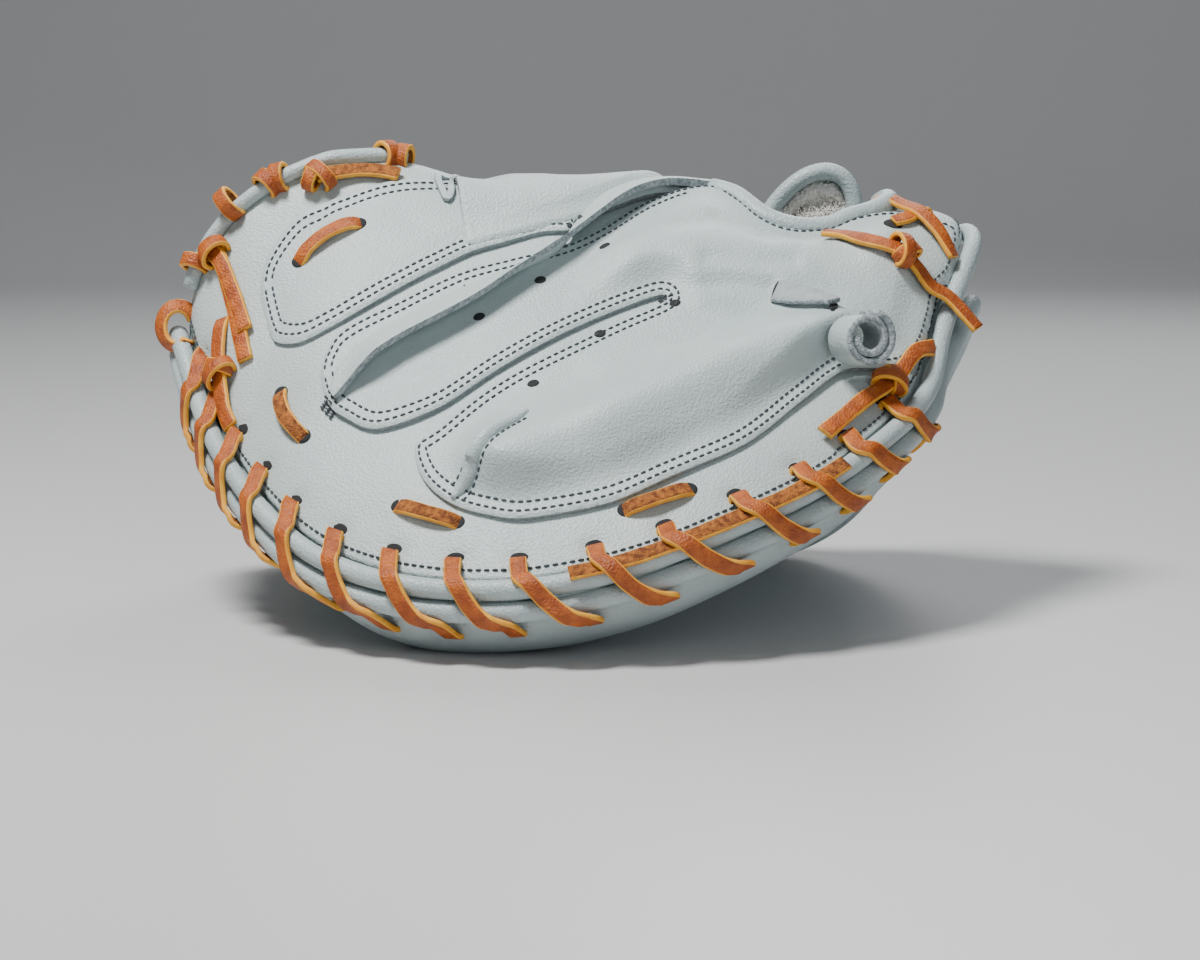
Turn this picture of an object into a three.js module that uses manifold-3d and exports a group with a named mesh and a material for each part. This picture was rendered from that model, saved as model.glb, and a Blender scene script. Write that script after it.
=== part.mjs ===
// A catcher mitt lying palm down: web tip at -X, heel at +X, back towards -Y and +Z, floor at z = 0.
// Every length is in millimetres. The form is a closed rim loop and a ridge joined by one profile.

import * as THREE from 'three';
import { mergeVertices } from 'three/addons/utils/BufferGeometryUtils.js';
import Module from 'manifold-3d';

const wasm = await Module();
wasm.setup();

// Driving dimensions
const leather = 2.4;             // wall of the back, the panels and the flaps
const clearance = 0.35;          // gap between neighbouring pieces
const rollRadius = 3.2;          // rim rolls, 6.4 mm across
const rollPitch = 3.55;          // each roll's centre from the joint between the two
const rollOut = 3.9;             // roll centres outside the rim joint
const laceWidth = 5.6;
const laceThick = 2.0;
const lacePitch = 22.2;          // from one rim hole to the next on the far side
const holeInset = 6.5;           // back holes, up the leather from its edge
const palmHoleInset = 2.6;       // palm holes, in from the rim joint
const edgeRise = 6;              // edge of the back above the rim joint
const handRoom = 20;             // thickness of leather and padding, the rest of the depth is hollow
const spineShare = 0.68;         // share of a rim section's x at which it meets the ridge
const creaseWidth = 0.05;        // rounding of the ridge, as a share of a section
const columns = 24;              // sections along the mitt
const rings = 6;                 // steps from the ridge to the rim

// Rim sections from the web tip along the near side to the heel and back along the far side.
// x, y, z: joint between the two rolls. drop: from it down to the palm's lip.
// gap: height of the wrist opening there. full: 0 for a straight slope above it, 1 for a round one.
const rimTable = [
  { x: -136, y: 8, z: 88, drop: 10, gap: 0, full: 0.8 },
  { x: -125.4, y: -19.5, z: 66.3, drop: 8, gap: 0, full: 0.35 },
  { x: -113, y: -46.5, z: 49.6, drop: 8, gap: 0, full: 0 },
  { x: -95, y: -75, z: 34.5, drop: 10, gap: 0, full: 0 },
  { x: -76.5, y: -93.5, z: 25, drop: 16, gap: 0, full: 0 },
  { x: -50, y: -111, z: 20.5, drop: 20.5, gap: 0, full: 0 },
  { x: -17, y: -120, z: 21, drop: 21, gap: 0, full: 0 },
  { x: 16, y: -117, z: 27, drop: 22, gap: 0, full: 0 },
  { x: 48, y: -107, z: 38, drop: 22, gap: 0, full: 0 },
  { x: 76, y: -90, z: 49, drop: 22, gap: 0, full: 0 },
  { x: 99.5, y: -68, z: 62.5, drop: 22, gap: 0, full: 0 },
  { x: 113.5, y: -45, z: 73, drop: 22, gap: 1, full: 0.2 },
  { x: 121, y: -22, z: 86.5, drop: 20, gap: 5, full: 0.6 },
  { x: 134, y: 6, z: 106, drop: 22, gap: 13.5, full: 0.9 },
  { x: 129, y: 28, z: 83, drop: 20, gap: 33.5, full: 1 },
  { x: 113, y: 50, z: 46, drop: 18, gap: 20, full: 0.8 },
  { x: 94, y: 72, z: 24, drop: 16, gap: 0, full: 0.6 },
  { x: 66, y: 90, z: 15, drop: 15, gap: 0, full: 0.5 },
  { x: 25, y: 101, z: 14, drop: 14, gap: 0, full: 0.5 },
  { x: -20, y: 103, z: 14, drop: 14, gap: 0, full: 0.5 },
  { x: -60, y: 90, z: 14, drop: 14, gap: 0, full: 0.5 },
  { x: -94, y: 67, z: 22, drop: 12, gap: 0, full: 0.5 },
  { x: -117, y: 42, z: 45, drop: 10, gap: 0, full: 0.5 },
  { x: -132, y: 28, z: 66, drop: 10, gap: 0, full: 0.6 },
];
const heelRow = 13;

// Ridge of the back from web to heel. depth: from its top down to the ceiling of the pocket.
const ridgeTable = [
  { x: -84, y: 13, z: 151.5, depth: 15 },
  { x: -60, y: 16, z: 151, depth: 23 },
  { x: -35, y: 17, z: 144.5, depth: 35 },
  { x: -5, y: 17, z: 142.5, depth: 45 },
  { x: 22, y: 17, z: 141, depth: 47 },
  { x: 49, y: 18, z: 141, depth: 47 },
  { x: 80, y: 19, z: 139, depth: 45 },
  { x: 98, y: 19, z: 138, depth: 42 },
];

// Colours and finishes
const finishes = {
  back: { color: 0xc9d2d2, roughness: 0.55, metalness: 0 },
  palm: { color: 0xc2cccd, roughness: 0.55, metalness: 0 },
  roll: { color: 0xb9c4c6, roughness: 0.5, metalness: 0 },
  lace: { color: 0xc8702a, roughness: 0.6, metalness: 0 },
  suede: { color: 0xb4bec0, roughness: 0.9, metalness: 0 },
  wool: { color: 0xf0ede4, roughness: 1, metalness: 0 },
};

// Curves through the tables
const clamp = THREE.MathUtils.clamp;
const lerp = THREE.MathUtils.lerp;

function smooth(from, to, value) {
  const t = clamp((value - from) / (to - from), 0, 1);
  return t * t * (3 - 2 * t);
}

function spline(p0, p1, p2, p3, t) {
  const slope = (p2 - p0) * t;
  const bend = (2 * p0 - 5 * p1 + 4 * p2 - p3) * t * t;
  return 0.5 * (2 * p1 + slope + bend + (3 * p1 - p0 - 3 * p2 + p3) * t * t * t);
}

function sample(table, place, closed) {
  const count = table.length;
  const spans = closed ? count : count - 1;
  const whole = Math.min(Math.floor(place * spans), spans - 1);
  const t = place * spans - whole;
  const row = (k) => table[closed ? (k + count) % count : clamp(k, 0, count - 1)];
  const result = {};
  for (const key of Object.keys(table[0])) {
    const p1 = row(whole)[key];
    const p2 = row(whole + 1)[key];
    const p0 = !closed && whole === 0 ? 2 * p1 - p2 : row(whole - 1)[key];
    const p3 = !closed && whole === spans - 1 ? 2 * p2 - p1 : row(whole + 2)[key];
    result[key] = spline(p0, p1, p2, p3, t);
  }
  return result;
}

const heelPlace = heelRow / rimTable.length;
const webX = rimTable[0].x;
const heelX = rimTable[heelRow].x;

function rimAt(place) {
  const rim = sample(rimTable, place - Math.floor(place), true);
  rim.gap = Math.max(rim.gap, 0);
  rim.full = clamp(rim.full, 0, 1);
  return rim;
}

function placeAtX(near, x) {
  let low = near ? 0 : 1;
  let high = heelPlace;
  for (let step = 0; step < 40; step += 1) {
    const middle = (low + high) / 2;
    if (rimAt(Math.min(middle, 0.999999)).x < x) low = middle;
    else high = middle;
  }
  return (low + high) / 2;
}

function ridgeAt(x) {
  const first = ridgeTable[0].x;
  const last = ridgeTable[ridgeTable.length - 1].x;
  const kept = clamp(x, first, last);
  let k = 0;
  while (k < ridgeTable.length - 2 && ridgeTable[k + 1].x < kept) k += 1;
  const span = (kept - ridgeTable[k].x) / (ridgeTable[k + 1].x - ridgeTable[k].x);
  const result = sample(ridgeTable, (k + clamp(span, 0, 0.999999)) / (ridgeTable.length - 1), false);
  result.x = kept;
  return result;
}

// The back's outer face. share runs from 0 at the ridge to 1 at the rim.
function rise(share, full) {
  const soft = Math.sqrt(share * share + creaseWidth * creaseWidth) - creaseWidth;
  const cone = (1 - soft / (Math.sqrt(1 + creaseWidth * creaseWidth) - creaseWidth)) ** 0.9;
  const dome = Math.sqrt(Math.max(0, 1 - share * share));
  return lerp(Number.isNaN(cone) ? 0 : cone, dome, full);
}

function section(place) {
  const rim = rimAt(place);
  return { rim, ridge: ridgeAt(rim.x * spineShare) };
}

function backPoint({ rim, ridge }, share, withGap = true) {
  const edge = rim.z + edgeRise + (withGap ? rim.gap : 0);
  return new THREE.Vector3(
    lerp(ridge.x, rim.x, share),
    lerp(ridge.y, rim.y, share),
    edge + (ridge.z - edge) * rise(share, rim.full),
  );
}

// Closed grids over the whole mitt: near rim, ridge, far rim in each column
function gridOf(pointAt) {
  const grid = [];
  for (let i = 0; i <= columns; i += 1) {
    const x = lerp(webX, heelX, (1 - Math.cos((i / columns) * Math.PI)) / 2);
    const atEnd = i === 0 || i === columns;
    const endPlace = i === 0 ? 0 : heelPlace;
    const sides = [true, false].map((near) => section(atEnd ? endPlace : placeAtX(near, x)));
    const line = [];
    for (let j = 0; j <= 2 * rings; j += 1) {
      const share = Math.abs(j - rings) / rings;
      line.push(pointAt(sides[j <= rings ? 0 : 1], share ** 0.85, j > rings));
    }
    grid.push(line);
  }
  return grid;
}

const keyOf = (p) => `${Math.round(p.x * 500)},${Math.round(p.y * 500)},${Math.round(p.z * 500)}`;

// A sheet of triangles from grids of points, its corners shared where points coincide
function sheetFrom(grids) {
  const points = [];
  const index = new Map();
  const indexOf = (p) => {
    const key = keyOf(p);
    if (!index.has(key)) {
      index.set(key, points.length);
      points.push(p);
    }
    return index.get(key);
  };
  const triangles = [];
  const addTriangle = (a, b, c) => {
    if (a !== b && b !== c && a !== c) triangles.push([a, b, c]);
  };
  for (const grid of grids) {
    for (let i = 0; i + 1 < grid.length; i += 1) {
      for (let j = 0; j + 1 < grid[i].length; j += 1) {
        const corners = [grid[i][j], grid[i + 1][j], grid[i + 1][j + 1], grid[i][j + 1]].map(indexOf);
        addTriangle(corners[0], corners[1], corners[2]);
        addTriangle(corners[0], corners[2], corners[3]);
      }
    }
  }
  return { points, triangles };
}

function normalsOf({ points, triangles }) {
  const normals = points.map(() => new THREE.Vector3());
  for (const [a, b, c] of triangles) {
    const ab = points[b].clone().sub(points[a]);
    const ac = points[c].clone().sub(points[a]);
    const face = ab.cross(ac);
    for (const corner of [a, b, c]) normals[corner].add(face);
  }
  return normals.map((n) => n.normalize());
}

// A closed solid between a sheet's upper points and its lower ones
function solidBetween(triangles, upper, lower) {
  const count = upper.length;
  const positions = [...upper, ...lower].flatMap((p) => [p.x, p.y, p.z]);
  const edges = new Map();
  for (const [a, b, c] of triangles) {
    for (const [from, to] of [[a, b], [b, c], [c, a]]) edges.set(`${from},${to}`, [from, to]);
  }
  const faces = [];
  for (const [a, b, c] of triangles) faces.push([a, b, c], [a + count, c + count, b + count]);
  for (const [from, to] of edges.values()) {
    if (!edges.has(`${to},${from}`)) {
      faces.push([from, from + count, to + count], [from, to + count, to]);
    }
  }
  const geometry = new THREE.BufferGeometry();
  geometry.setAttribute('position', new THREE.Float32BufferAttribute(positions, 3));
  geometry.setIndex(faces.flat());
  return geometry;
}

// Booleans
function toManifold(geometry) {
  const bare = geometry.clone();
  bare.deleteAttribute('normal');
  bare.deleteAttribute('uv');
  const merged = mergeVertices(bare, 1e-4);
  return new wasm.Manifold(new wasm.Mesh({
    numProp: 3,
    vertProperties: new Float32Array(merged.attributes.position.array),
    triVerts: new Uint32Array(merged.index.array),
  }));
}

function toGeometry(manifold) {
  const mesh = manifold.getMesh();
  const geometry = new THREE.BufferGeometry();
  geometry.setAttribute('position', new THREE.Float32BufferAttribute(mesh.vertProperties, 3));
  geometry.setIndex([...mesh.triVerts]);
  return geometry;
}

function joined(geometries) {
  return toGeometry(geometries.map(toManifold).reduce((all, next) => all.add(next)));
}

function cutBy(geometry, cutters) {
  return toGeometry(cutters.map(toManifold).reduce((rest, tool) => rest.subtract(tool),
    toManifold(geometry)));
}

// A sweep of a closed section along points; frameAt gives the section's two axes at each point
function sweep(path, frameAt, outline, closed) {
  const positions = [];
  path.forEach((point, k) => {
    const { across, up } = frameAt(k);
    for (const [a, b] of outline) {
      const corner = point.clone().addScaledVector(across, a).addScaledVector(up, b);
      positions.push(corner.x, corner.y, corner.z);
    }
  });
  const sides = outline.length;
  const faces = [];
  const last = closed ? path.length : path.length - 1;
  for (let k = 0; k < last; k += 1) {
    const here = k * sides;
    const next = ((k + 1) % path.length) * sides;
    for (let s = 0; s < sides; s += 1) {
      const t = (s + 1) % sides;
      faces.push(here + s, next + t, next + s, here + s, here + t, next + t);
    }
  }
  if (!closed) {
    const end = (path.length - 1) * sides;
    for (let s = 1; s + 1 < sides; s += 1) {
      faces.push(0, s + 1, s);
      faces.push(end, end + s, end + s + 1);
    }
  }
  const geometry = new THREE.BufferGeometry();
  geometry.setAttribute('position', new THREE.Float32BufferAttribute(positions, 3));
  geometry.setIndex(faces);
  return volumeOf(geometry) < 0 ? turned(geometry) : geometry;
}

function volumeOf(geometry) {
  const p = geometry.attributes.position;
  const i = geometry.index.array;
  const corner = (k) => new THREE.Vector3().fromBufferAttribute(p, i[k]);
  let total = 0;
  for (let k = 0; k < i.length; k += 3) total += corner(k).dot(corner(k + 1).cross(corner(k + 2)));
  return total / 6;
}

function turned(geometry) {
  const i = [...geometry.index.array];
  for (let k = 0; k < i.length; k += 3) [i[k + 1], i[k + 2]] = [i[k + 2], i[k + 1]];
  geometry.setIndex(i);
  return geometry;
}

const circleOutline = (radius, sides) => Array.from({ length: sides }, (_, k) => {
  const angle = (k / sides) * 2 * Math.PI;
  return [radius * Math.cos(angle), radius * Math.sin(angle)];
});
const bandOutline = (width, thick) => [
  [-width / 2, -thick / 2], [width / 2, -thick / 2], [width / 2, thick / 2], [-width / 2, thick / 2],
];

// Directions at the rim: along it, out of the mitt, and from the palm's roll to the back's roll
function rimFrame(place, withGap = false) {
  const lift = (row) => row.z + (withGap ? row.gap : 0);
  const before = rimAt(place - 0.002);
  const after = rimAt(place + 0.002);
  const here = rimAt(place);
  const along = new THREE.Vector3(after.x - before.x, after.y - before.y, lift(after) - lift(before));
  along.normalize();
  const out = new THREE.Vector3(along.y, -along.x, 0).normalize();
  const up = new THREE.Vector3().crossVectors(out, along).negate().normalize();
  if (up.z < 0) up.negate();
  return { joint: new THREE.Vector3(here.x, here.y, lift(here)), along, out, up };
}

const rimSpot = (frame, out, up) => frame.joint.clone()
  .addScaledVector(frame.out, out)
  .addScaledVector(frame.up, up);

// Places at equal steps along the rim
function rimLengths() {
  const steps = 960;
  const lengths = [0];
  let last = rimFrame(0).joint;
  for (let k = 1; k <= steps; k += 1) {
    const next = rimFrame(k / steps).joint;
    lengths.push(lengths[k - 1] + next.distanceTo(last));
    last = next;
  }
  return lengths;
}

const lengthTable = rimLengths();
const rimLength = lengthTable[lengthTable.length - 1];

function placeAtLength(length) {
  const wanted = ((length % rimLength) + rimLength) % rimLength;
  let k = 1;
  while (lengthTable[k] < wanted) k += 1;
  const part = (wanted - lengthTable[k - 1]) / (lengthTable[k] - lengthTable[k - 1]);
  return (k - 1 + part) / (lengthTable.length - 1);
}

// Height of the back above a plan point, by finding its section
function onBack(x, y, lift = 0) {
  const height = (px, py) => {
    const ridgeLine = ridgeTable[0].x > px
      ? lerp(ridgeTable[0].y, rimTable[0].y, (ridgeTable[0].x - px) / (ridgeTable[0].x - webX))
      : ridgeAt(px).y;
    const near = py <= ridgeLine;
    let low = near ? 0 : 1;
    let high = heelPlace;
    let here = null;
    let share = 0;
    for (let step = 0; step < 30; step += 1) {
      const middle = (low + high) / 2;
      here = section(middle);
      share = clamp((py - here.ridge.y) / (here.rim.y - here.ridge.y || 1), 0, 1);
      if (lerp(here.ridge.x, here.rim.x, share) < px) low = middle;
      else high = middle;
    }
    return backPoint(here, share).z;
  };
  const step = 1.5;
  const z = height(x, y);
  const slopeX = (height(x + step, y) - height(x - step, y)) / (2 * step);
  const slopeY = (height(x, y + step) - height(x, y - step)) / (2 * step);
  const normal = new THREE.Vector3(-slopeX, -slopeY, 1).normalize();
  return { point: new THREE.Vector3(x, y, z).addScaledVector(normal, lift), normal };
}

// Main forms
function backSheet(withGap) {
  return sheetFrom([gridOf((part, share) => backPoint(part, share, withGap))]);
}

const offset = (points, normals, distance) => points.map((p, k) => (
  p.clone().addScaledVector(normals[k], distance)));

// Everything that lies on the back is trimmed against this body, a clearance above the leather
function backBody() {
  const outer = backSheet(true);
  const normals = normalsOf(outer);
  const upper = offset(outer.points, normals, clearance);
  return solidBetween(outer.triangles, upper, offset(outer.points, normals, -leather - 6));
}

// The wrist opening in plan, and the prism that cuts it
const wristOutline = [
  { x: 47, y: 19 }, { x: 55, y: 11 }, { x: 64, y: 2 }, { x: 76, y: -1 }, { x: 92, y: 2 },
  { x: 106, y: 8 }, { x: 110, y: 18 }, { x: 104, y: 32 }, { x: 90, y: 40 }, { x: 70, y: 40 },
  { x: 54, y: 32 },
];

function prismOver(outline, low, high) {
  const shape = new THREE.Shape(outline.map(({ x, y }) => new THREE.Vector2(x, y)));
  const geometry = new THREE.ExtrudeGeometry(shape, { depth: high - low, bevelEnabled: false });
  geometry.translate(0, 0, low);
  return geometry;
}

// Punched hole through back and palm at a place on the rim
function holeEnds(place) {
  const here = section(place);
  const span = Math.hypot(here.rim.x - here.ridge.x, here.rim.y - here.ridge.y);
  const edge = backPoint(here, 1);
  let share = 1;
  while (share > 0.5 && backPoint(here, share).distanceTo(edge) < holeInset) share -= 0.002;
  const top = backPoint(here, share);
  const bottom = palmUnder(here, 1 - palmHoleInset / span, false);
  return { top, bottom };
}

function punch(place) {
  const { top, bottom } = holeEnds(place);
  const axis = top.clone().sub(bottom).normalize();
  const { along } = rimFrame(place);
  const path = [bottom.clone().addScaledVector(axis, -5), top.clone().addScaledVector(axis, 5)];
  const across = along.clone().addScaledVector(axis, -along.dot(axis)).normalize();
  const up = new THREE.Vector3().crossVectors(axis, across);
  return sweep(path, () => ({ across, up }), bandOutline(laceWidth + 1, laceThick + 1), false);
}

// Underside of the palm: a padded lip inside the rim, then the pocket
const lipSpan = { thin: 0.05, thick: 0.2 };
const pocketStart = { thin: 0.8, thick: 0.42 };
const thinDepth = 16;
const thickDepth = 46;

function palmUnder({ rim, ridge }, share, far) {
  const padding = clamp((ridge.depth - thinDepth) / (thickDepth - thinDepth), 0, 1);
  const lip = 1 - lerp(lipSpan.thin, lipSpan.thick, padding);
  const low = rim.z - rim.drop;
  const flank = rollPitch + 0.5;
  const point = backPoint({ rim, ridge }, share, false);
  if (share >= lip) {
    const part = (share - lip) / (1 - lip);
    point.z = low + (rim.drop - flank) * (1 - Math.sqrt(Math.max(0, 1 - part * part)));
  } else {
    const deep = ridge.depth * (far ? 1 + 0.45 * Math.sin(Math.PI * share) : 1);
    const start = lerp(pocketStart.thin, pocketStart.thick, padding);
    point.z = lerp(low, point.z - deep, smooth(lip, start, share));
  }
  point.z = Math.max(point.z, 0);
  return point;
}

const roomHeight = (ridge, share) => Math.max(0, ridge.depth - handRoom) * smooth(0.93, 0.7, share);

function makePalm() {
  const upper = backSheet(false);
  const normals = normalsOf(upper);
  const rooms = new Map();
  const unders = new Map();
  gridOf((part, share, far) => {
    const key = keyOf(backPoint(part, share, false));
    rooms.set(key, roomHeight(part.ridge, share));
    unders.set(key, palmUnder(part, share, far));
    return null;
  });
  const top = offset(upper.points, normals, -(leather + 2 * clearance));
  top.forEach((p, k) => {
    p.z -= rooms.get(keyOf(upper.points[k]));
  });
  const bottom = upper.points.map((p) => unders.get(keyOf(p)));
  return solidBetween(upper.triangles, top, bottom);
}

function makeBack() {
  const outer = backSheet(true);
  const normals = normalsOf(outer);
  return solidBetween(outer.triangles, outer.points, offset(outer.points, normals, -leather));
}

function makeRoll(withGap, side, steps) {
  const path = [];
  const frames = [];
  for (let k = 0; k < steps; k += 1) {
    const frame = rimFrame(k / steps, withGap);
    path.push(rimSpot(frame, rollOut, side * rollPitch));
    frames.push({ across: frame.out, up: frame.up });
  }
  return sweep(path, (k) => frames[k], circleOutline(rollRadius, 6), true);
}

// Laces: a flat band that keeps its width along the way it is told
function band(points, widthWay, width = laceWidth, thick = laceThick) {
  const frames = points.map((p, k) => {
    const before = points[Math.max(k - 1, 0)];
    const after = points[Math.min(k + 1, points.length - 1)];
    const ahead = after.clone().sub(before).normalize();
    const way = widthWay[k];
    const across = way.clone().addScaledVector(ahead, -way.dot(ahead)).normalize();
    return { across, up: new THREE.Vector3().crossVectors(ahead, across) };
  });
  return sweep(points, (k) => frames[k], bandOutline(width, thick), false);
}

// One turn of rim lacing: out of a back hole, over both rolls, into the next palm hole.
// side: 1 for the back's roll, -1 for the palm's. angle: degrees round that roll, 0 facing out.
const turnTable = [
  { part: 0.14, side: 1, angle: 82 },
  { part: 0.27, side: 1, angle: 52 },
  { part: 0.4, side: 1, angle: 20 },
  { part: 0.6, side: -1, angle: -2 },
  { part: 0.74, side: -1, angle: -35 },
  { part: 0.87, side: -1, angle: -66 },
];
const laceReach = 5.35;

// Straight lace end lying on the back's roll under the loops, between two places along the rim
const tucked = { fromX: -1, toX: 84, thick: 1.5, fromAngle: 16, toAngle: 88 };

const lengthAt = (place) => {
  const k = Math.floor(place * (lengthTable.length - 1));
  return lerp(lengthTable[k], lengthTable[k + 1], place * (lengthTable.length - 1) - k);
};
const tuckedFrom = lengthAt(placeAtX(true, tucked.fromX));
const tuckedTo = lengthAt(placeAtX(true, tucked.toX));

function reachAt(length) {
  const over = smooth(tuckedFrom - 9, tuckedFrom - 3, length) * smooth(tuckedTo + 9, tuckedTo + 3, length);
  return laceReach + over * 1.3;
}

function makeTuckedLace() {
  const steps = 13;
  const arc = (radius, count) => Array.from({ length: count }, (_, k) => {
    const angle = THREE.MathUtils.degToRad(lerp(tucked.fromAngle, tucked.toAngle, k / (count - 1)));
    return [radius * Math.cos(angle), radius * Math.sin(angle)];
  });
  const inner = rollRadius + clearance;
  const outline = [...arc(inner + tucked.thick, 4), ...arc(inner, 3).reverse()];
  const frames = Array.from({ length: steps + 1 }, (_, k) => (
    rimFrame(placeAtLength(lerp(tuckedFrom, tuckedTo, k / steps)))));
  const path = frames.map((frame) => rimSpot(frame, rollOut, rollPitch));
  return sweep(path, (k) => ({ across: frames[k].out, up: frames[k].up }), outline, false);
}

function rimLace(holes) {
  const points = [];
  const ways = [];
  for (let k = 0; k < holes.length; k += 1) {
    const place = placeAtLength(holes[k]);
    const { top, bottom } = holeEnds(place);
    const frame = rimFrame(place);
    const axis = top.clone().sub(bottom).normalize();
    points.push(bottom.clone().addScaledVector(axis, 0.5), top.clone().addScaledVector(axis, 1.8));
    ways.push(frame.along, frame.along);
    if (k + 1 < holes.length) {
      for (const { part, side, angle } of turnTable) {
        const length = lerp(holes[k], holes[k + 1], part);
        const turn = rimFrame(placeAtLength(length));
        const reach = reachAt(length);
        const radians = THREE.MathUtils.degToRad(angle);
        const out = rollOut + reach * Math.cos(radians);
        const up = side * rollPitch + reach * Math.sin(radians);
        points.push(rimSpot(turn, out, up));
        ways.push(turn.along);
      }
    }
  }
  return band(points, ways);
}

// Holes of each run of lacing, measured along the rim from the web tip
const nearHoles = [
  26, 47, 68.1, 90.8, 112.9, 135.8, 159, 181.3, 202.2, 226.5, 250, 276, 300.5, 324, 347, 370,
];
const farLacing = { first: 553, count: 12 };
const farHoles = Array.from({ length: farLacing.count }, (_, k) => farLacing.first + k * lacePitch);

// Panels sewn on the back, as rows of upper and lower edge points in plan
const stallRows = [
  { upX: -81, upY: -56, loX: -80, loY: -58 },
  { upX: -70, upY: -51, loX: -75, loY: -63 },
  { upX: -58, upY: -46, loX: -63, loY: -69 },
  { upX: -40, upY: -41, loX: -44, loY: -68 },
  { upX: -22, upY: -31, loX: -24, loY: -59 },
  { upX: -2, upY: -16, loX: 0, loY: -47 },
  { upX: 16, upY: -4, loX: 16, loY: -40 },
  { upX: 32, upY: 7, loX: 31, loY: -36 },
  { upX: 44, upY: 9, loX: 50, loY: -31 },
  { upX: 60, upY: -3, loX: 66, loY: -27 },
  { upX: 76, upY: -7, loX: 82, loY: -24 },
  { upX: 92, upY: -5, loX: 95, loY: -22 },
];
const littleRows = [
  { upX: -51, upY: -79, loX: -50, loY: -83 },
  { upX: -43, upY: -74, loX: -46, loY: -91 },
  { upX: -28, upY: -65, loX: -36, loY: -99 },
  { upX: -16, upY: -59, loX: -22, loY: -104 },
  { upX: -4, upY: -53, loX: -6, loY: -106 },
  { upX: 8, upY: -47, loX: 10, loY: -104 },
  { upX: 20, upY: -42, loX: 28, loY: -98 },
  { upX: 31, upY: -36, loX: 42, loY: -92 },
  { upX: 50, upY: -31, loX: 56, loY: -84 },
  { upX: 66, upY: -27, loX: 70, loY: -72 },
  { upX: 82, upY: -24, loX: 84, loY: -58 },
  { upX: 95, upY: -22, loX: 97, loY: -50 },
];
const flapRows = [
  { upX: -84, upY: -47, loX: -81, loY: -55 },
  { upX: -80, upY: -40, loX: -73, loY: -54 },
  { upX: -74, upY: -36, loX: -64, loY: -51 },
  { upX: -59, upY: -31, loX: -48, loY: -45 },
  { upX: -39, upY: -24, loX: -30, loY: -37 },
  { upX: -22, upY: -20, loX: -13, loY: -27 },
  { upX: -8, upY: -16, loX: -1, loY: -18 },
];
const indexRows = [
  { upX: -108, upY: -12, loX: -107, loY: -14 },
  { upX: -104, upY: -6, loX: -103, loY: -22 },
  { upX: -96, upY: -1, loX: -93, loY: -33 },
  { upX: -85, upY: 1, loX: -81, loY: -35 },
  { upX: -74, upY: 2, loX: -71, loY: -33 },
  { upX: -58, upY: 5, loX: -58, loY: -27 },
  { upX: -46, upY: 7, loX: -43, loY: -20 },
];
const hoodRows = [
  { upX: -42, upY: 26, loX: -37, loY: -16 },
  { upX: -27, upY: 27, loX: -22, loY: -14 },
  { upX: -10, upY: 28, loX: -5, loY: -12 },
  { upX: 8, upY: 29, loX: 9, loY: -7 },
  { upX: 24, upY: 30, loX: 24, loY: 4 },
  { upX: 38, upY: 30, loX: 36, loY: 11 },
];

// Rounded humps of the filled stalls, along lines in plan
const humps = [
  { fromX: -34, fromY: -84, toX: 78, toY: -48, height: 8, reach: 13 },
  { fromX: 34, fromY: -14, toX: 70, toY: -20, height: 4, reach: 16 },
];

function humpHeight(x, y) {
  return humps.reduce((sum, hump) => {
    const dx = hump.toX - hump.fromX;
    const dy = hump.toY - hump.fromY;
    const t = clamp(((x - hump.fromX) * dx + (y - hump.fromY) * dy) / (dx * dx + dy * dy), 0, 1);
    const away = Math.hypot(x - hump.fromX - t * dx, y - hump.fromY - t * dy) / hump.reach;
    return sum + hump.height * Math.exp(-away * away);
  }, 0);
}

// reliefAt gives the extra height at a row, a share across it and a plan point
function panel(rowSets, across, thick, reliefAt) {
  const uppers = new Map();
  const grids = rowSets.map((rows) => rows.map((row, k) => (
    Array.from({ length: across + 1 }, (_, j) => {
      const t = j / across;
      const plan = { x: lerp(row.upX, row.loX, t), y: lerp(row.upY, row.loY, t) };
      const relief = reliefAt(plan, t, k / (rows.length - 1));
      const flat = new THREE.Vector3(plan.x, plan.y, 0);
      uppers.set(keyOf(flat), {
        low: onBack(plan.x, plan.y, clearance + relief).point,
        high: onBack(plan.x, plan.y, clearance + relief + thick).point,
      });
      return flat;
    }))));
  const sheet = sheetFrom(grids);
  const pick = (which) => sheet.points.map((p) => uppers.get(keyOf(p))[which]);
  const geometry = solidBetween(sheet.triangles, pick('high'), pick('low'));
  return volumeOf(geometry) < 0 ? turned(geometry) : geometry;
}

const pinned = (t) => smooth(0, 0.22, Math.min(t, 1 - t));
const pinnedAtTip = (t) => smooth(0, 0.25, t);

function makeStallCover(thick = leather) {
  return panel([stallRows, littleRows], 5, thick, ({ x, y }, t, along) => {
    const inner = x > 31 ? smooth(31, 50, x) : 0;
    const seam = Math.max(pinned(t), inner * (y > -40 ? 1 : pinned(t)));
    return humpHeight(x, y) * seam * pinnedAtTip(along);
  });
}

const coverCutter = () => makeStallCover(leather + clearance);

const makeFlap = () => panel([flapRows], 3, leather, (plan, t, along) => (
  leather + clearance + 4.5 * t * smooth(0, 0.5, along)));

const makeIndexPanel = () => panel([indexRows], 3, leather, () => 0);

const makeHood = () => panel([hoodRows], 7, leather, (plan, t, along) => (
  2.2 * Math.sin(Math.PI * t) * (1 - 0.4 * along)));

// A lace lying on the back along plan points, raised by a lift at each. A point with its own z hangs
// free past the leather's edge.
const tailNormal = new THREE.Vector3(0.45, -0.25, 0.86);

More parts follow.
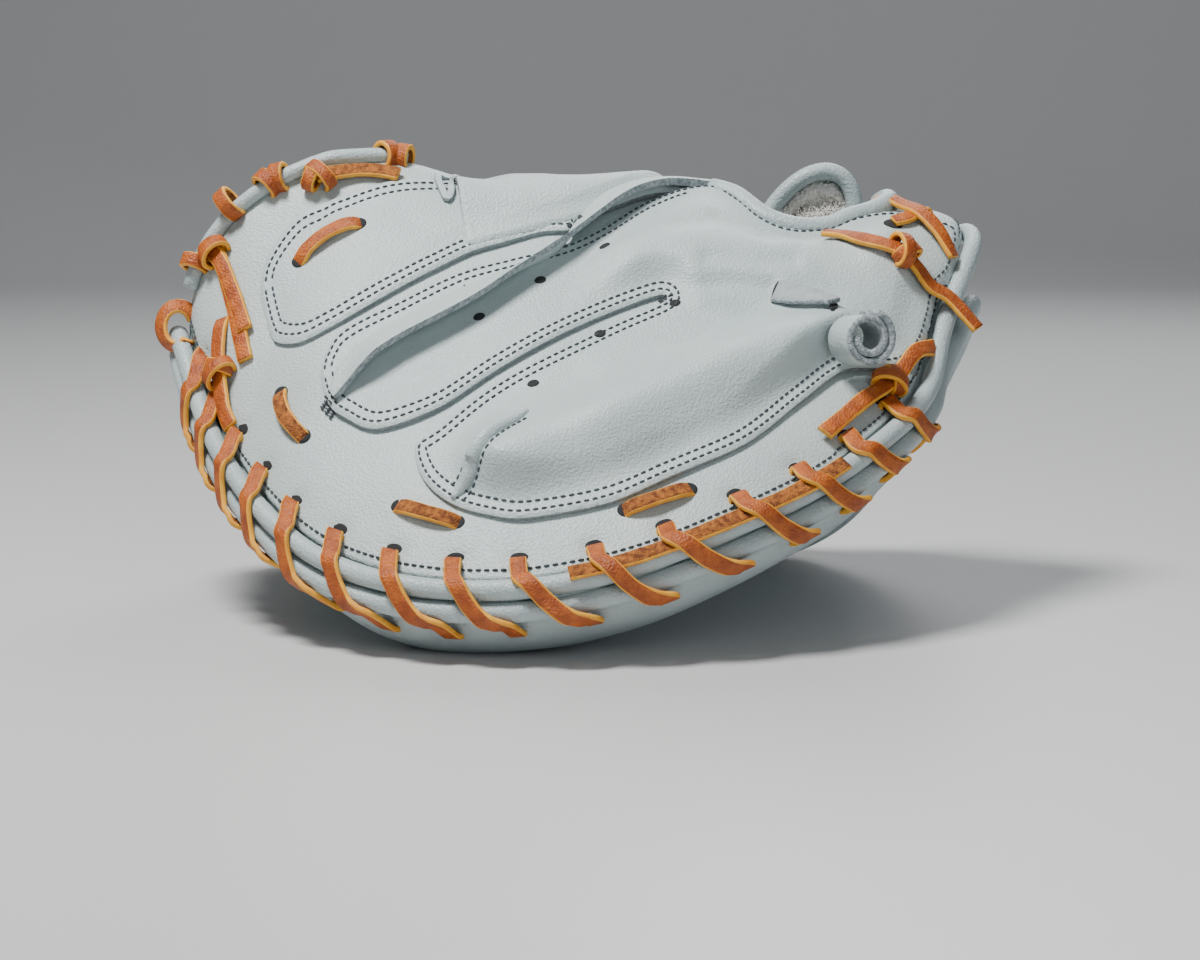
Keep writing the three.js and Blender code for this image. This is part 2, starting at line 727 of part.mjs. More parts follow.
function layLace(rows, width = laceWidth) {
  const spots = rows.map(({ x, y, z, lift }) => {
    const spot = onBack(x, y, lift + laceThick / 2 + clearance);
    return z === undefined ? spot : { point: new THREE.Vector3(x, y, z), normal: tailNormal };
  });
  const points = spots.map(({ point }) => point);
  const ways = spots.map(({ point, normal }, k) => {
    const before = points[Math.max(k - 1, 0)];
    const after = points[Math.min(k + 1, points.length - 1)];
    return new THREE.Vector3().crossVectors(normal, after.clone().sub(before));
  });
  return band(points, ways, width);
}

const padLaceWidth = 4.8;
const padLaces = {
  a: [{ x: -57, y: -92, lift: 0 }, { x: -47, y: -97.5, lift: 2 }, { x: -36, y: -102, lift: 0 }],
  b: [{ x: 16, y: -104, lift: 0 }, { x: 27, y: -102.5, lift: 2 }, { x: 37, y: -97.7, lift: 0 }],
  c: [{ x: -99, y: -41, lift: 0 }, { x: -94, y: -51, lift: 2 }, { x: -88, y: -60, lift: 0 }],
  d: [{ x: -94, y: -11, lift: 2.8 }, { x: -84, y: -9, lift: 4.6 }, { x: -75, y: -8, lift: 2.8 }],
};

// Knots: a wrapped body with two tails on the back
const knotSize = { long: 6.2, wide: 5.2, high: 4 };

function knotWith(centre, tails) {
  const seat = onBack(centre.x, centre.y, centre.lift + knotSize.high + clearance);
  const body = new THREE.SphereGeometry(1, 8, 6);
  body.scale(knotSize.long, knotSize.wide, knotSize.high);
  const turn = new THREE.Quaternion().setFromUnitVectors(new THREE.Vector3(0, 0, 1), seat.normal);
  body.applyQuaternion(turn);
  body.translate(seat.point.x, seat.point.y, seat.point.z);
  return joined([body, ...tails.map((rows) => layLace(rows))]);
}

const knots = {
  web_knot_low: knotWith({ x: -115, y: -26, lift: 2.5 }, [
    [{ x: -115, y: -26, lift: 5 }, { x: -114, y: -33, lift: 5 }, { x: -112, y: -41, lift: 5 }],
    [{ x: -115, y: -26, lift: 5 }, { x: -117, y: -20, lift: 3.5 }, { x: -119, y: -16, lift: 2 }],
  ]),
  web_knot_high: knotWith({ x: -122, y: -3, lift: 2 }, [
    [{ x: -122, y: -3, lift: 4 }, { x: -115, y: -13, lift: 2.5 }, { x: -111, y: -24, lift: 0.5 }],
  ]),
  web_knot_top: knotWith({ x: -91, y: 1, lift: 2.4 }, [
    [{ x: -91, y: 1, lift: 5 }, { x: -78, y: 5, lift: 4.5 }, { x: -64, y: 7, lift: 3.4 }],
  ]),
  heel_knot_low: knotWith({ x: 104, y: -53, lift: 2.5 }, [
    [{ x: 104, y: -54, lift: 4 }, { x: 94, y: -65, lift: 5 }, { x: 82, y: -75, lift: 4 }],
    [{ x: 104, y: -54, lift: 4 }, { x: 110, y: -45, lift: 3 }, { x: 116, y: -35, lift: 2.5 }],
  ]),
  heel_knot_high: knotWith({ x: 109, y: -14, lift: 0 }, [
    [{ x: 109, y: -14, lift: 3 }, { x: 98, y: -11, lift: 4.2 }, { x: 86, y: -10, lift: 4.4 }],
    [{ x: 109, y: -14, lift: 3 }, { x: 118, y: -18, lift: 3.5 }, { x: 128, y: -21.5, z: 113, lift: 0 },
      { x: 137, y: -25, z: 104, lift: 0 }],
  ]),
};

const heelLace = layLace([
  { x: 108, y: 0, lift: 1.5 }, { x: 114, y: 0, lift: 3 }, { x: 120, y: -3, lift: 2 },
  { x: 126, y: -8, lift: 0 },
]);

// Roll and loops where the web is laced to the index finger
const webEdge = [
  { x: -131, y: 7 }, { x: -124, y: 8 }, { x: -112, y: 9 }, { x: -98, y: 10 }, { x: -84, y: 12 },
  { x: -72, y: 14 },
];
const webRollRadius = 2.6;

const webSteps = 12;
const webCurve = new THREE.CatmullRomCurve3(webEdge.map(({ x, y }) => new THREE.Vector3(x, y, 0)));
const webSpots = Array.from({ length: webSteps + 1 }, (_, k) => {
  const flat = webCurve.getPoint(k / webSteps);
  return onBack(flat.x, flat.y, webRollRadius + clearance);
});
const webPath = webSpots.map(({ point }) => point);
const webFrames = webSpots.map(({ normal }, k) => {
  const ahead = webPath[Math.min(k + 1, webSteps)].clone().sub(webPath[Math.max(k - 1, 0)]).normalize();
  const across = new THREE.Vector3().crossVectors(normal, ahead).normalize();
  return { ahead, across, up: new THREE.Vector3().crossVectors(ahead, across) };
});

const makeWebRoll = () => sweep(webPath, (k) => webFrames[k], circleOutline(webRollRadius, 7), false);

// Lace round the web roll at one of its steps
function webLoop(step) {
  const { ahead, across, up } = webFrames[step];
  const reach = webRollRadius + laceThick / 2 + 1.1;
  const points = Array.from({ length: 9 }, (_, k) => {
    const angle = (-50 + 35 * k) * THREE.MathUtils.DEG2RAD;
    return webPath[step].clone()
      .addScaledVector(across, reach * Math.cos(angle))
      .addScaledVector(up, reach * Math.sin(angle));
  });
  return cutBy(band(points, points.map(() => ahead)), [backBody()]);
}

// Lace end curled above the rolls at the web tip
const curl = { x: -141.4, y: 9, z: 101.2, radius: 4.6 };

function makeWebEndLoop() {
  const steps = 12;
  const points = Array.from({ length: steps + 1 }, (_, k) => {
    const angle = (-70 + 300 * (k / steps)) * THREE.MathUtils.DEG2RAD;
    return new THREE.Vector3(
      curl.x + curl.radius * Math.cos(angle),
      curl.y,
      curl.z + curl.radius * Math.sin(angle),
    );
  });
  return band(points, points.map(() => new THREE.Vector3(0, 1, 0)));
}

// Pieces that lie on the stall cover
function topOf(geometry, x, y) {
  const solid = new THREE.Mesh(geometry, new THREE.MeshBasicMaterial({ side: THREE.DoubleSide }));
  const ray = new THREE.Raycaster(new THREE.Vector3(x, y, 300), new THREE.Vector3(0, 0, -1));
  const hits = ray.intersectObject(solid);
  return hits.length ? hits[0].point : onBack(x, y, 0).point;
}

const stallCover = makeStallCover();
const pleatLine = [{ x: -36, y: -94 }, { x: -30, y: -90 }, { x: -23, y: -84 }, { x: -16, y: -78.5 }];
const windowLine = [{ x: 70, y: -31 }, { x: 75, y: -33 }, { x: 81, y: -36 }];

function onCover(line, lift) {
  return line.map(({ x, y }) => {
    const { normal } = onBack(x, y, 0);
    return topOf(stallCover, x, y).clone().addScaledVector(normal, lift);
  });
}

function makePleat() {
  const points = onCover(pleatLine, 1.2);
  const radius = 2.4;
  const frames = points.map((p, k) => {
    const ahead = points[Math.min(k + 1, points.length - 1)].clone().sub(points[Math.max(k - 1, 0)]);
    const across = new THREE.Vector3().crossVectors(ahead.normalize(), onBack(p.x, p.y, 0).normal);
    return { across: across.normalize(), up: new THREE.Vector3().crossVectors(across, ahead) };
  });
  const rod = sweep(points, (k) => frames[k], circleOutline(radius, 8), false);
  return cutBy(rod, [coverCutter()]);
}

function makeWindowStrap() {
  const points = onCover(windowLine, 1.6);
  const ways = points.map(() => new THREE.Vector3(0.4, 0.9, 0.2));
  return cutBy(band(points, ways, 9, 2.4), [coverCutter()]);
}

// Strap end rolled to a scroll, its axis towards the viewer
const scrollCentre = new THREE.Vector3(95.2, -62.5, 94.8);
const scrollOuter = 9;
const scrollWidth = 15;

function makeScroll() {
  const turns = 1.35;
  const steps = 22;
  const axis = new THREE.Vector3(0.35, -0.93, 0.1).normalize();
  const side = new THREE.Vector3(1, 0, 0).addScaledVector(axis, -axis.x).normalize();
  const upward = new THREE.Vector3().crossVectors(side, axis).normalize();
  const points = Array.from({ length: steps + 1 }, (_, k) => {
    const angle = (k / steps) * turns * 2 * Math.PI - 1.2;
    const radius = scrollOuter - 1.2 - (k / steps) * 3.6;
    return scrollCentre.clone()
      .addScaledVector(side, radius * Math.cos(angle))
      .addScaledVector(upward, radius * Math.sin(angle));
  });
  return band(points, points.map(() => axis), scrollWidth, 2);
}

// Rolled binding round the wrist opening, following the back's cut edge
function makeBinding() {
  const radius = 3;
  const inward = radius + clearance + 1.2;
  const middle = wristOutline.reduce((sum, { x, y }) => (
    { x: sum.x + x / wristOutline.length, y: sum.y + y / wristOutline.length }), { x: 0, y: 0 });
  const curve = new THREE.CatmullRomCurve3(wristOutline.map(({ x, y }) => {
    const away = Math.hypot(x - middle.x, y - middle.y);
    const share = 1 - inward / away;
    return new THREE.Vector3(lerp(middle.x, x, share), lerp(middle.y, y, share), 0);
  }), true);
  const steps = 28;
  const points = Array.from({ length: steps }, (_, k) => {
    const flat = curve.getPoint(k / steps);
    return onBack(flat.x, flat.y, 0).point;
  });
  const frames = points.map((p, k) => {
    const ahead = points[(k + 1) % steps].clone().sub(points[(k + steps - 1) % steps]).normalize();
    const across = new THREE.Vector3().crossVectors(ahead, new THREE.Vector3(0, 0, 1)).normalize();
    return { across, up: new THREE.Vector3().crossVectors(across, ahead) };
  });
  return sweep(points, (k) => frames[k], circleOutline(radius, 6), true);
}

// Arched strap beyond the opening with its wool lining
const arch = { x: 80, halfWidth: 18, height: 31.5, skew: 9, fromY: 42, toY: 72 };

function archWall(inset, thick, fromY, toY) {
  const grid = [];
  const ys = [0, 1, 2, 3, 4].map((k) => lerp(fromY, toY, k / 4));
  const sides = 9;
  for (const y of ys) {
    const base = onBack(arch.x, y, 0).point.z - 2;
    const fall = 1 - 0.5 * smooth(arch.fromY, arch.toY, y);
    grid.push(Array.from({ length: sides + 1 }, (_, k) => {
      const angle = (k / sides) * Math.PI;
      return { y, angle, base, fall };
    }));
  }
  const place = ({ y, angle, base, fall }, radiusLoss) => new THREE.Vector3(
    arch.x - (arch.halfWidth - radiusLoss) * Math.cos(angle) + arch.skew * fall * Math.sin(angle),
    y,
    base + (arch.height * fall + 2 - radiusLoss) * Math.sin(angle),
  );
  const lowers = new Map();
  const upperGrid = grid.map((line) => line.map((spot) => {
    const upper = place(spot, inset);
    lowers.set(keyOf(upper), place(spot, inset + thick));
    return upper;
  }));
  const sheet = sheetFrom([upperGrid]);
  const lower = sheet.points.map((point) => lowers.get(keyOf(point)));
  const geometry = solidBetween(sheet.triangles, sheet.points, lower);
  return volumeOf(geometry) < 0 ? turned(geometry) : geometry;
}

// Assembly
const mitt = new THREE.Group();

function addPiece(name, geometry, finish) {
  const mesh = new THREE.Mesh(geometry, new THREE.MeshStandardMaterial(finishes[finish]));
  mesh.name = name;
  mitt.add(mesh);
}

const punches = [...nearHoles, ...farHoles].map((length) => punch(placeAtLength(length)));

addPiece('palm', cutBy(makePalm(), punches), 'palm');
addPiece('back_shell', cutBy(makeBack(), [...punches, prismOver(wristOutline, 60, 200)]), 'back');
addPiece('back_roll', makeRoll(true, 1, 54), 'roll');
addPiece('palm_roll', makeRoll(false, -1, 54), 'roll');
addPiece('near_rim_lace', rimLace(nearHoles), 'lace');
addPiece('far_rim_lace', rimLace(farHoles), 'lace');
addPiece('index_panel', makeIndexPanel(), 'back');
addPiece('finger_hood', makeHood(), 'back');
addPiece('ring_flap', makeFlap(), 'back');
addPiece('stall_cover', stallCover, 'back');
addPiece('little_finger_pleat', makePleat(), 'back');
addPiece('strap_window', makeWindowStrap(), 'suede');
addPiece('tucked_lace', makeTuckedLace(), 'lace');
for (const [letter, rows] of Object.entries(padLaces)) {
  addPiece(`pad_lace_${letter}`, layLace(rows, padLaceWidth), 'lace');
}
for (const [name, geometry] of Object.entries(knots)) addPiece(name, geometry, 'lace');
addPiece('heel_lace', heelLace, 'lace');
addPiece('web_roll', cutBy(makeWebRoll(), [backBody()]), 'roll');
[4, 7].forEach((step, k) => addPiece(`web_loop_${k + 1}`, webLoop(step), 'lace'));
addPiece('web_end_loop', makeWebEndLoop(), 'lace');
addPiece('strap_scroll', makeScroll(), 'back');
addPiece('wrist_binding', makeBinding(), 'roll');
addPiece('thumb_strap', cutBy(archWall(0, 2.6, arch.fromY, arch.toY), [backBody()]), 'back');
addPiece('wool_lining', cutBy(archWall(2.6 + 2 * clearance, 2.4, arch.fromY + 1, arch.toY - 3),
  [backBody()]), 'wool');

// The origin is the middle of the bounding box on the floor
const overall = new THREE.Box3().setFromObject(mitt);
const middle = overall.getCenter(new THREE.Vector3());
mitt.children.forEach(({ geometry }) => geometry.translate(-middle.x, -middle.y, -overall.min.z));

export default mitt;
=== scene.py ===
"""A catcher's mitt lying palm down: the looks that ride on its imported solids.

Plan positions and forms are worked out in millimetres in the mitt's working frame, in which x runs
from the web tip to the heel, y away from the camera and z up from the floor. Meshes are written in
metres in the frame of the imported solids.
"""

import logging
import math
import random
from dataclasses import dataclass, field
from enum import Enum
from typing import Callable, NamedTuple, Optional, Sequence

import bmesh
import bpy
import numpy as np
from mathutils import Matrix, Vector
from mathutils.bvhtree import BVHTree


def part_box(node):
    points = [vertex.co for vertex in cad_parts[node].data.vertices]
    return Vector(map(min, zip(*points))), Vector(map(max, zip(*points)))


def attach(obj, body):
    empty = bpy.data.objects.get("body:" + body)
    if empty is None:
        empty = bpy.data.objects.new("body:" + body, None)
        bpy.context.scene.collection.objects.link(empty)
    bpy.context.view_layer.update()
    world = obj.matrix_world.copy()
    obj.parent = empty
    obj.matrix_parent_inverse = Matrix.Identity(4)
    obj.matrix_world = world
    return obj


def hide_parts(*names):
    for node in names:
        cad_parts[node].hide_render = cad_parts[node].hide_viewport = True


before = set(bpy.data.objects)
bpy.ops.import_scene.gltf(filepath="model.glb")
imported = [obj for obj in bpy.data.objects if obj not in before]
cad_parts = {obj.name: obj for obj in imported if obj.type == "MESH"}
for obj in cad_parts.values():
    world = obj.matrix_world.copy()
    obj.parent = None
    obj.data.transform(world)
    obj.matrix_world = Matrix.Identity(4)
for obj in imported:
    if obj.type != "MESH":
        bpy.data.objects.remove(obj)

LOG = logging.getLogger("mitt")
MM = 0.001
BODY = "root"
SEED = 7

LEATHER = 2.4           # wall of the back and the panels
ROLL_RADIUS = 3.3       # rim rolls
ROLL_PITCH = 3.55       # each roll's centre from the joint between the two
ROLL_OUT = 3.9          # roll centres outside the rim joint
LACE_WIDTH = 5.6
LACE_THICK = 1.9
HOLE_INSET = 6.5        # back holes, up the leather from its edge
PALM_HOLE_INSET = 2.6   # palm holes, in from the rim joint
EDGE_RISE = 6.0         # edge of the back above the rim joint
HAND_ROOM = 20.0        # leather and padding left over the pocket where the hand goes
TINY = 1e-9             # least length or square that is divided by
FAR_AWAY = 1e9          # more than any distance on the mitt
SPINE_SHARE = 0.68      # share of a rim section's x at which it meets the ridge
CREASE_WIDTH = 0.07     # rounding of the ridge, as a share of a section
PALM_CORNER = (-137.0, -120.0)   # least x and y of the palm in the working frame


class RimRow(NamedTuple):
    """A section of the rim: its joint, the palm's drop below it, the wrist gap and the roundness."""

    x: float
    y: float
    z: float
    drop: float
    gap: float
    full: float


class RidgeRow(NamedTuple):
    """A point of the back's ridge and the depth of leather and padding under it."""

    x: float
    y: float
    z: float
    depth: float


RIM = (
    RimRow(-136, 8, 88, 10, 0, 0.8), RimRow(-125.4, -19.5, 66.3, 8, 0, 0.35),
    RimRow(-113, -46.5, 49.6, 8, 0, 0), RimRow(-95, -75, 34.5, 10, 0, 0),
    RimRow(-76.5, -93.5, 25, 16, 0, 0), RimRow(-50, -111, 20.5, 20.5, 0, 0),
    RimRow(-17, -120, 21, 21, 0, 0), RimRow(16, -117, 27, 22, 0, 0),
    RimRow(48, -107, 38, 22, 0, 0), RimRow(76, -90, 49, 22, 0, 0),
    RimRow(99.5, -68, 62.5, 22, 0, 0), RimRow(113.5, -45, 73, 22, 1, 0.2),
    RimRow(121, -22, 86.5, 20, 5, 0.6), RimRow(134, 6, 106, 22, 13.5, 0.9),
    RimRow(129, 28, 83, 20, 33.5, 1), RimRow(113, 50, 46, 18, 20, 0.8),
    RimRow(94, 72, 24, 16, 0, 0.6), RimRow(66, 90, 15, 15, 0, 0.5),
    RimRow(25, 101, 14, 14, 0, 0.5), RimRow(-20, 103, 14, 14, 0, 0.5),
    RimRow(-60, 90, 14, 14, 0, 0.5), RimRow(-94, 67, 22, 12, 0, 0.5),
    RimRow(-117, 42, 45, 10, 0, 0.5), RimRow(-132, 28, 66, 10, 0, 0.6),
)
HEEL_ROW = 13
RIDGE = (
    RidgeRow(-84, 13, 151.5, 15), RidgeRow(-60, 16, 151, 23),
    RidgeRow(-35, 17, 144.5, 35), RidgeRow(-5, 17, 142.5, 45),
    RidgeRow(22, 17, 141, 47), RidgeRow(49, 18, 141, 47),
    RidgeRow(80, 19, 139, 45), RidgeRow(98, 19, 138, 42),
)

Array = np.ndarray
Plan = Sequence[tuple[float, float]]            # rows of x and y
Lay = Sequence[tuple[float, float, float]]      # rows of x, y and lift over the leather


def smooth(low: float, high: float, value: Array) -> Array:
    """Smooth step from 0 at low to 1 at high."""
    t = np.clip((value - low) / (high - low), 0, 1)
    return t * t * (3 - 2 * t)


def lerp(a: Array, b: Array, t: Array) -> Array:
    """Straight mix of a and b."""
    return a + (b - a) * t


def unit(vectors: Array) -> Array:
    """Rows of vectors at length 1."""
    return vectors / np.maximum(np.linalg.norm(vectors, axis=-1, keepdims=True), TINY)


def heading(path: Array, closed: bool = False) -> Array:
    """Unit directions along a path."""
    if closed:
        return unit(np.roll(path, -1, axis=0) - np.roll(path, 1, axis=0))
    return unit(np.gradient(path, axis=0))


def crossed(rows: Array, columns: Array) -> tuple[Array, Array]:
    """Every pair of a row value and a column value, row by row."""
    row, column = np.meshgrid(rows, columns, indexing="ij")
    return row.ravel(), column.ravel()


def oval_points(angles: Array, side: Array, up: Array, wide: Array = 1.0, high: Array = 1.0) -> Array:
    """Offsets at angles round an oval, from its two axes and its half sizes."""
    return np.outer(np.cos(angles) * wide, side) + np.outer(np.sin(angles) * high, up)


def running_length(points: Array) -> Array:
    """Length from the first point to each point."""
    return np.concatenate([[0], np.cumsum(np.linalg.norm(np.diff(points, axis=0), axis=1))])


def spline(table: Array, at: Array, closed: bool) -> Array:
    """Uniform Catmull-Rom curve through a table's rows.

    Args:
        table: rows of values.
        at: places along the curve from 0 to 1.
        closed: whether the last row leads back to the first.

    Returns:
        One row of values for each place.
    """
    count = len(table)
    spans = count if closed else count - 1
    scaled = np.clip(np.asarray(at, float), 0, 1) * spans
    first = np.minimum(np.floor(scaled).astype(int), spans - 1)
    t = (scaled - first)[:, None]
    if closed:
        p0, p1, p2, p3 = (table[(first + k) % count] for k in (-1, 0, 1, 2))
    else:
        padded = np.vstack([2 * table[0] - table[1], table, 2 * table[-1] - table[-2]])
        p0, p1, p2, p3 = (padded[first + k] for k in (0, 1, 2, 3))
    bend = 2 * p0 - 5 * p1 + 4 * p2 - p3
    return 0.5 * (2 * p1 + (p2 - p0) * t + bend * t * t + (3 * p1 - p0 - 3 * p2 + p3) * t ** 3)


def even(points: Array, step: float, closed: bool = False) -> Array:
    """A smooth curve through points, resampled at about one step apart."""
    dense = spline(np.asarray(points, float), np.linspace(0, 1, 40 * len(points) + 1), closed)
    lengths = running_length(dense)
    count = max(int(round(lengths[-1] / step)), 2)
    wanted = np.linspace(0, lengths[-1], count + 1)
    if closed:
        wanted = wanted[:-1]
    return np.column_stack([np.interp(wanted, lengths, dense[:, k]) for k in range(dense.shape[1])])


def ripple(points: Array, size: float, seed: int) -> Array:
    """Cheap smooth noise from -1 to 1 at points, as a sum of slanted waves about one size long."""
    source = np.random.default_rng(seed)
    total = np.zeros(len(points))
    for k in range(7):
        way = unit(source.normal(size=points.shape[1]))
        wave = 2 * math.pi / (size * (0.6 + 0.16 * k))
        total += np.sin(points @ way * wave + source.uniform(0, 6.28)) / 7
    return total * 1.6


class MittForm:
    """The mitt's form: a closed rim and a ridge joined by one profile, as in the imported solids."""

    CONE_POWER = 0.9
    PAD_FROM, PAD_SPAN = 16, 30      # depths under the ridge over which the padding grows
    LIP = (0.05, 0.2)                # width of the palm's lip, thin and padded, as a share of a section
    POCKET = (0.8, 0.42)             # share at which the pocket starts, thin and padded
    FAR_POCKET = 0.45                # how much deeper the pocket is on the far side
    PROBE = 0.002                    # step along the rim for its directions

    def __init__(self) -> None:
        self.rim_table = np.array(RIM, float)
        self.ridge_table = np.array(RIDGE, float)
        self.heel_place = HEEL_ROW / len(RIM)
        self.steps = np.linspace(0, 1, 961)
        self.lengths = running_length(self.rim(self.steps)[:, :3])
        self.length = self.lengths[-1]
        self.height_map = HeightMap(self)

    def rim(self, place: Array) -> Array:
        """Rim rows (x, y, z, drop, gap, full) at places from 0 to 1."""
        rows = spline(self.rim_table, np.mod(place, 1.0), True)
        rows[:, 4] = np.maximum(rows[:, 4], 0)
        rows[:, 5] = np.clip(rows[:, 5], 0, 1)
        return rows

    def ridge(self, x: Array) -> Array:
        """Ridge rows (x, y, z, depth) at the given x, held at the ridge's ends."""
        knots = self.ridge_table[:, 0]
        kept = np.clip(x, knots[0], knots[-1])
        k = np.clip(np.searchsorted(knots, kept, side="right") - 1, 0, len(knots) - 2)
        share = (kept - knots[k]) / (knots[k + 1] - knots[k])
        rows = spline(self.ridge_table, (k + np.clip(share, 0, 0.999999)) / (len(knots) - 1), False)
        rows[:, 0] = kept
        return rows

    @staticmethod
    def rise(share: Array, full: Array) -> Array:
        """Height of the profile at a share of the way from ridge to rim: a soft cone or a dome."""
        top = math.sqrt(1 + CREASE_WIDTH ** 2) - CREASE_WIDTH
        soft = (np.sqrt(share ** 2 + CREASE_WIDTH ** 2) - CREASE_WIDTH) / top
        cone = np.maximum(0, 1 - soft) ** MittForm.CONE_POWER
        return lerp(cone, np.sqrt(np.maximum(0, 1 - share ** 2)), full)

    def back(self, place: Array, share: Array, with_gap: bool = True) -> Array:
        """Points of the back's outer face at places round the rim and shares out from the ridge."""
        rim = self.rim(place)
        ridge = self.ridge(rim[:, 0] * SPINE_SHARE)
        edge = rim[:, 2] + EDGE_RISE + (rim[:, 4] if with_gap else 0)
        plan = lerp(ridge[:, :2], rim[:, :2], share[:, None])
        return np.column_stack([plan, edge + (ridge[:, 2] - edge) * self.rise(share, rim[:, 5])])

    def under(self, place: Array, share: Array) -> Array:
        """Points of the palm's underside: a padded lip inside the rim, then the pocket."""
        rim = self.rim(place)
        ridge = self.ridge(rim[:, 0] * SPINE_SHARE)
        padding = np.clip((ridge[:, 3] - self.PAD_FROM) / self.PAD_SPAN, 0, 1)
        lip = 1 - lerp(*self.LIP, padding)
        low = rim[:, 2] - rim[:, 3]
        points = self.back(place, share, False)
        part = np.clip((share - lip) / (1 - lip), 0, 1)
        round_lip = low + (rim[:, 3] - ROLL_PITCH - 0.5) * (1 - np.sqrt(np.maximum(0, 1 - part ** 2)))
        far = np.where(np.mod(place, 1) > self.heel_place, self.FAR_POCKET * np.sin(math.pi * share), 0)
        blend = smooth(lip, lerp(*self.POCKET, padding), share)
        pocket = lerp(low, points[:, 2] - ridge[:, 3] * (1 + far), blend)
        points[:, 2] = np.maximum(np.where(share >= lip, round_lip, pocket), 0)
        return points

    def frames(self, place: Array, with_gap: bool = False) -> tuple[Array, Array, Array, Array]:
        """The rim joint and its directions.

        Args:
            place: places round the rim.
            with_gap: whether the joint is lifted by the wrist gap.

        Returns:
            The joint, then unit directions along the rim, out of it and up.
        """
        def joint(at: Array) -> Array:
            """The rim joint at places."""
            rows = self.rim(at)
            lift = rows[:, 4] if with_gap else 0
            return np.column_stack([rows[:, :2], rows[:, 2] + lift])

        along = unit(joint(place + self.PROBE) - joint(place - self.PROBE))
        out = unit(np.column_stack([along[:, 1], -along[:, 0], np.zeros(len(place))]))
        up = unit(np.cross(along, out))
        up = np.where(up[:, 2:3] < 0, -up, up)
        return joint(place), along, out, up

    def place_at(self, length: Array) -> Array:
        """Places at lengths along the rim from the web tip."""
        return np.interp(np.mod(length, self.length), self.lengths, self.steps)

    def length_at_x(self, x: float) -> float:
        """Length along the near rim at which it reaches x."""
        places = np.linspace(0, self.heel_place, 400)
        place = np.interp(x, self.rim(places)[:, 0], places)
        return float(np.interp(place, self.steps, self.lengths))


class HeightMap:
    """The back's outer face as heights over the plan, smooth between its cells."""

    CELL = 1.5
    LOW = (-160.0, -140.0)
    HIGH = (160.0, 125.0)
    ROWS, COLUMNS = 481, 61
    ABOVE = 300.0           # height from which the cells look down
    SPREAD = 14             # cells outside the mitt that are filled in
    SLOPE_STEP = 1.2

    def __init__(self, form: MittForm) -> None:
        points = form.back(*crossed(np.linspace(0, 1, self.ROWS), np.linspace(0, 1, self.COLUMNS) ** 0.85))
        tree = BVHTree.FromPolygons([tuple(p) for p in points], grid_faces(self.ROWS, self.COLUMNS))
        self.xs = np.arange(self.LOW[0], self.HIGH[0], self.CELL)
        self.ys = np.arange(self.LOW[1], self.HIGH[1], self.CELL)
        heights = np.full((len(self.xs), len(self.ys)), np.nan)
        down = Vector((0, 0, -1))
        for i, x in enumerate(self.xs):
            for j, y in enumerate(self.ys):
                hit = tree.ray_cast(Vector((x, y, self.ABOVE)), down)[0]
                if hit:
                    heights[i, j] = hit.z
        self.heights = self.filled(heights)

    @staticmethod
    def filled(heights: Array) -> Array:
        """Cells outside the mitt carry on the slope of the cells inside."""
        for _ in range(HeightMap.SPREAD):
            missing = np.isnan(heights)
            total = np.zeros_like(heights)
            count = np.zeros_like(heights)
            for axis in (0, 1):
                for way in (1, -1):
                    near = np.roll(heights, way, axis)
                    next_near = np.roll(heights, 2 * way, axis)
                    guess = np.where(np.isnan(next_near), near - 1.0, 2 * near - next_near)
                    good = ~np.isnan(guess)
                    total[good] += guess[good]
                    count[good] += 1
            fill = missing & (count > 0)
            heights[fill] = total[fill] / count[fill]
        return np.nan_to_num(heights, nan=0.0)

    @staticmethod
    def weights(t: Array) -> list[Array]:
        """Four cubic weights for a share of a cell."""
        return [
            0.5 * (-t + 2 * t ** 2 - t ** 3), 0.5 * (2 - 5 * t ** 2 + 3 * t ** 3),
            0.5 * (t + 4 * t ** 2 - 3 * t ** 3), 0.5 * (t ** 3 - t ** 2),
        ]

    def z(self, x: Array, y: Array) -> Array:
        """Heights of the back at plan points."""
        u = (x - self.xs[0]) / self.CELL
        v = (y - self.ys[0]) / self.CELL
        i = np.clip(np.floor(u).astype(int), 1, len(self.xs) - 3)
        j = np.clip(np.floor(v).astype(int), 1, len(self.ys) - 3)
        wu = self.weights(u - i)
        wv = self.weights(v - j)
        total = np.zeros_like(u)
        for a in range(4):
            for b in range(4):
                total += wu[a] * wv[b] * self.heights[i + a - 1, j + b - 1]
        return total

    def point(self, plan: Array, lift: Array) -> tuple[Array, Array]:
        """Points over the back at plan positions, and the back's normals there."""
        x, y = plan[:, 0], plan[:, 1]
        step = self.SLOPE_STEP
        slope_x = (self.z(x + step, y) - self.z(x - step, y)) / (2 * step)
        slope_y = (self.z(x, y + step) - self.z(x, y - step)) / (2 * step)
        normal = unit(np.column_stack([-slope_x, -slope_y, np.ones(len(x))]))
        base = np.column_stack([x, y, self.z(x, y)])
        return base + normal * np.asarray(lift, float).reshape(-1, 1), normal


def shift_of_frame() -> Array:
    """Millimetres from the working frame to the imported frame, from the palm's solid."""
    low = np.array(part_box("palm")[0]) / MM
    return np.array([low[0] - PALM_CORNER[0], low[1] - PALM_CORNER[1], low[2]])


class Finish(Enum):
    """The finishes that the pieces take."""

    BACK = "back_leather"
    PALM = "palm_leather"
    ROLL = "roll_leather"
    LACE = "lace_leather"
    LACE_FLESH = "lace_flesh"
    LACE_EDGE = "lace_edge"
    CUT_EDGE = "cut_edge"
    FLAP_EDGE = "flap_edge"
    SUEDE = "suede"
    THREAD = "thread"
    # painted shade: near-black finish that stands in for the shade inside punched holes, vents and slots
    PAINTED_HOLE_SHADE = "hole"
    WOOL = "wool"
    FLOOR = "floor"


WRINKLE_SIZE = 0.022            # metres
PATCH_RAMP = (0.35, 0.65)       # noise levels of the second colour and the main one


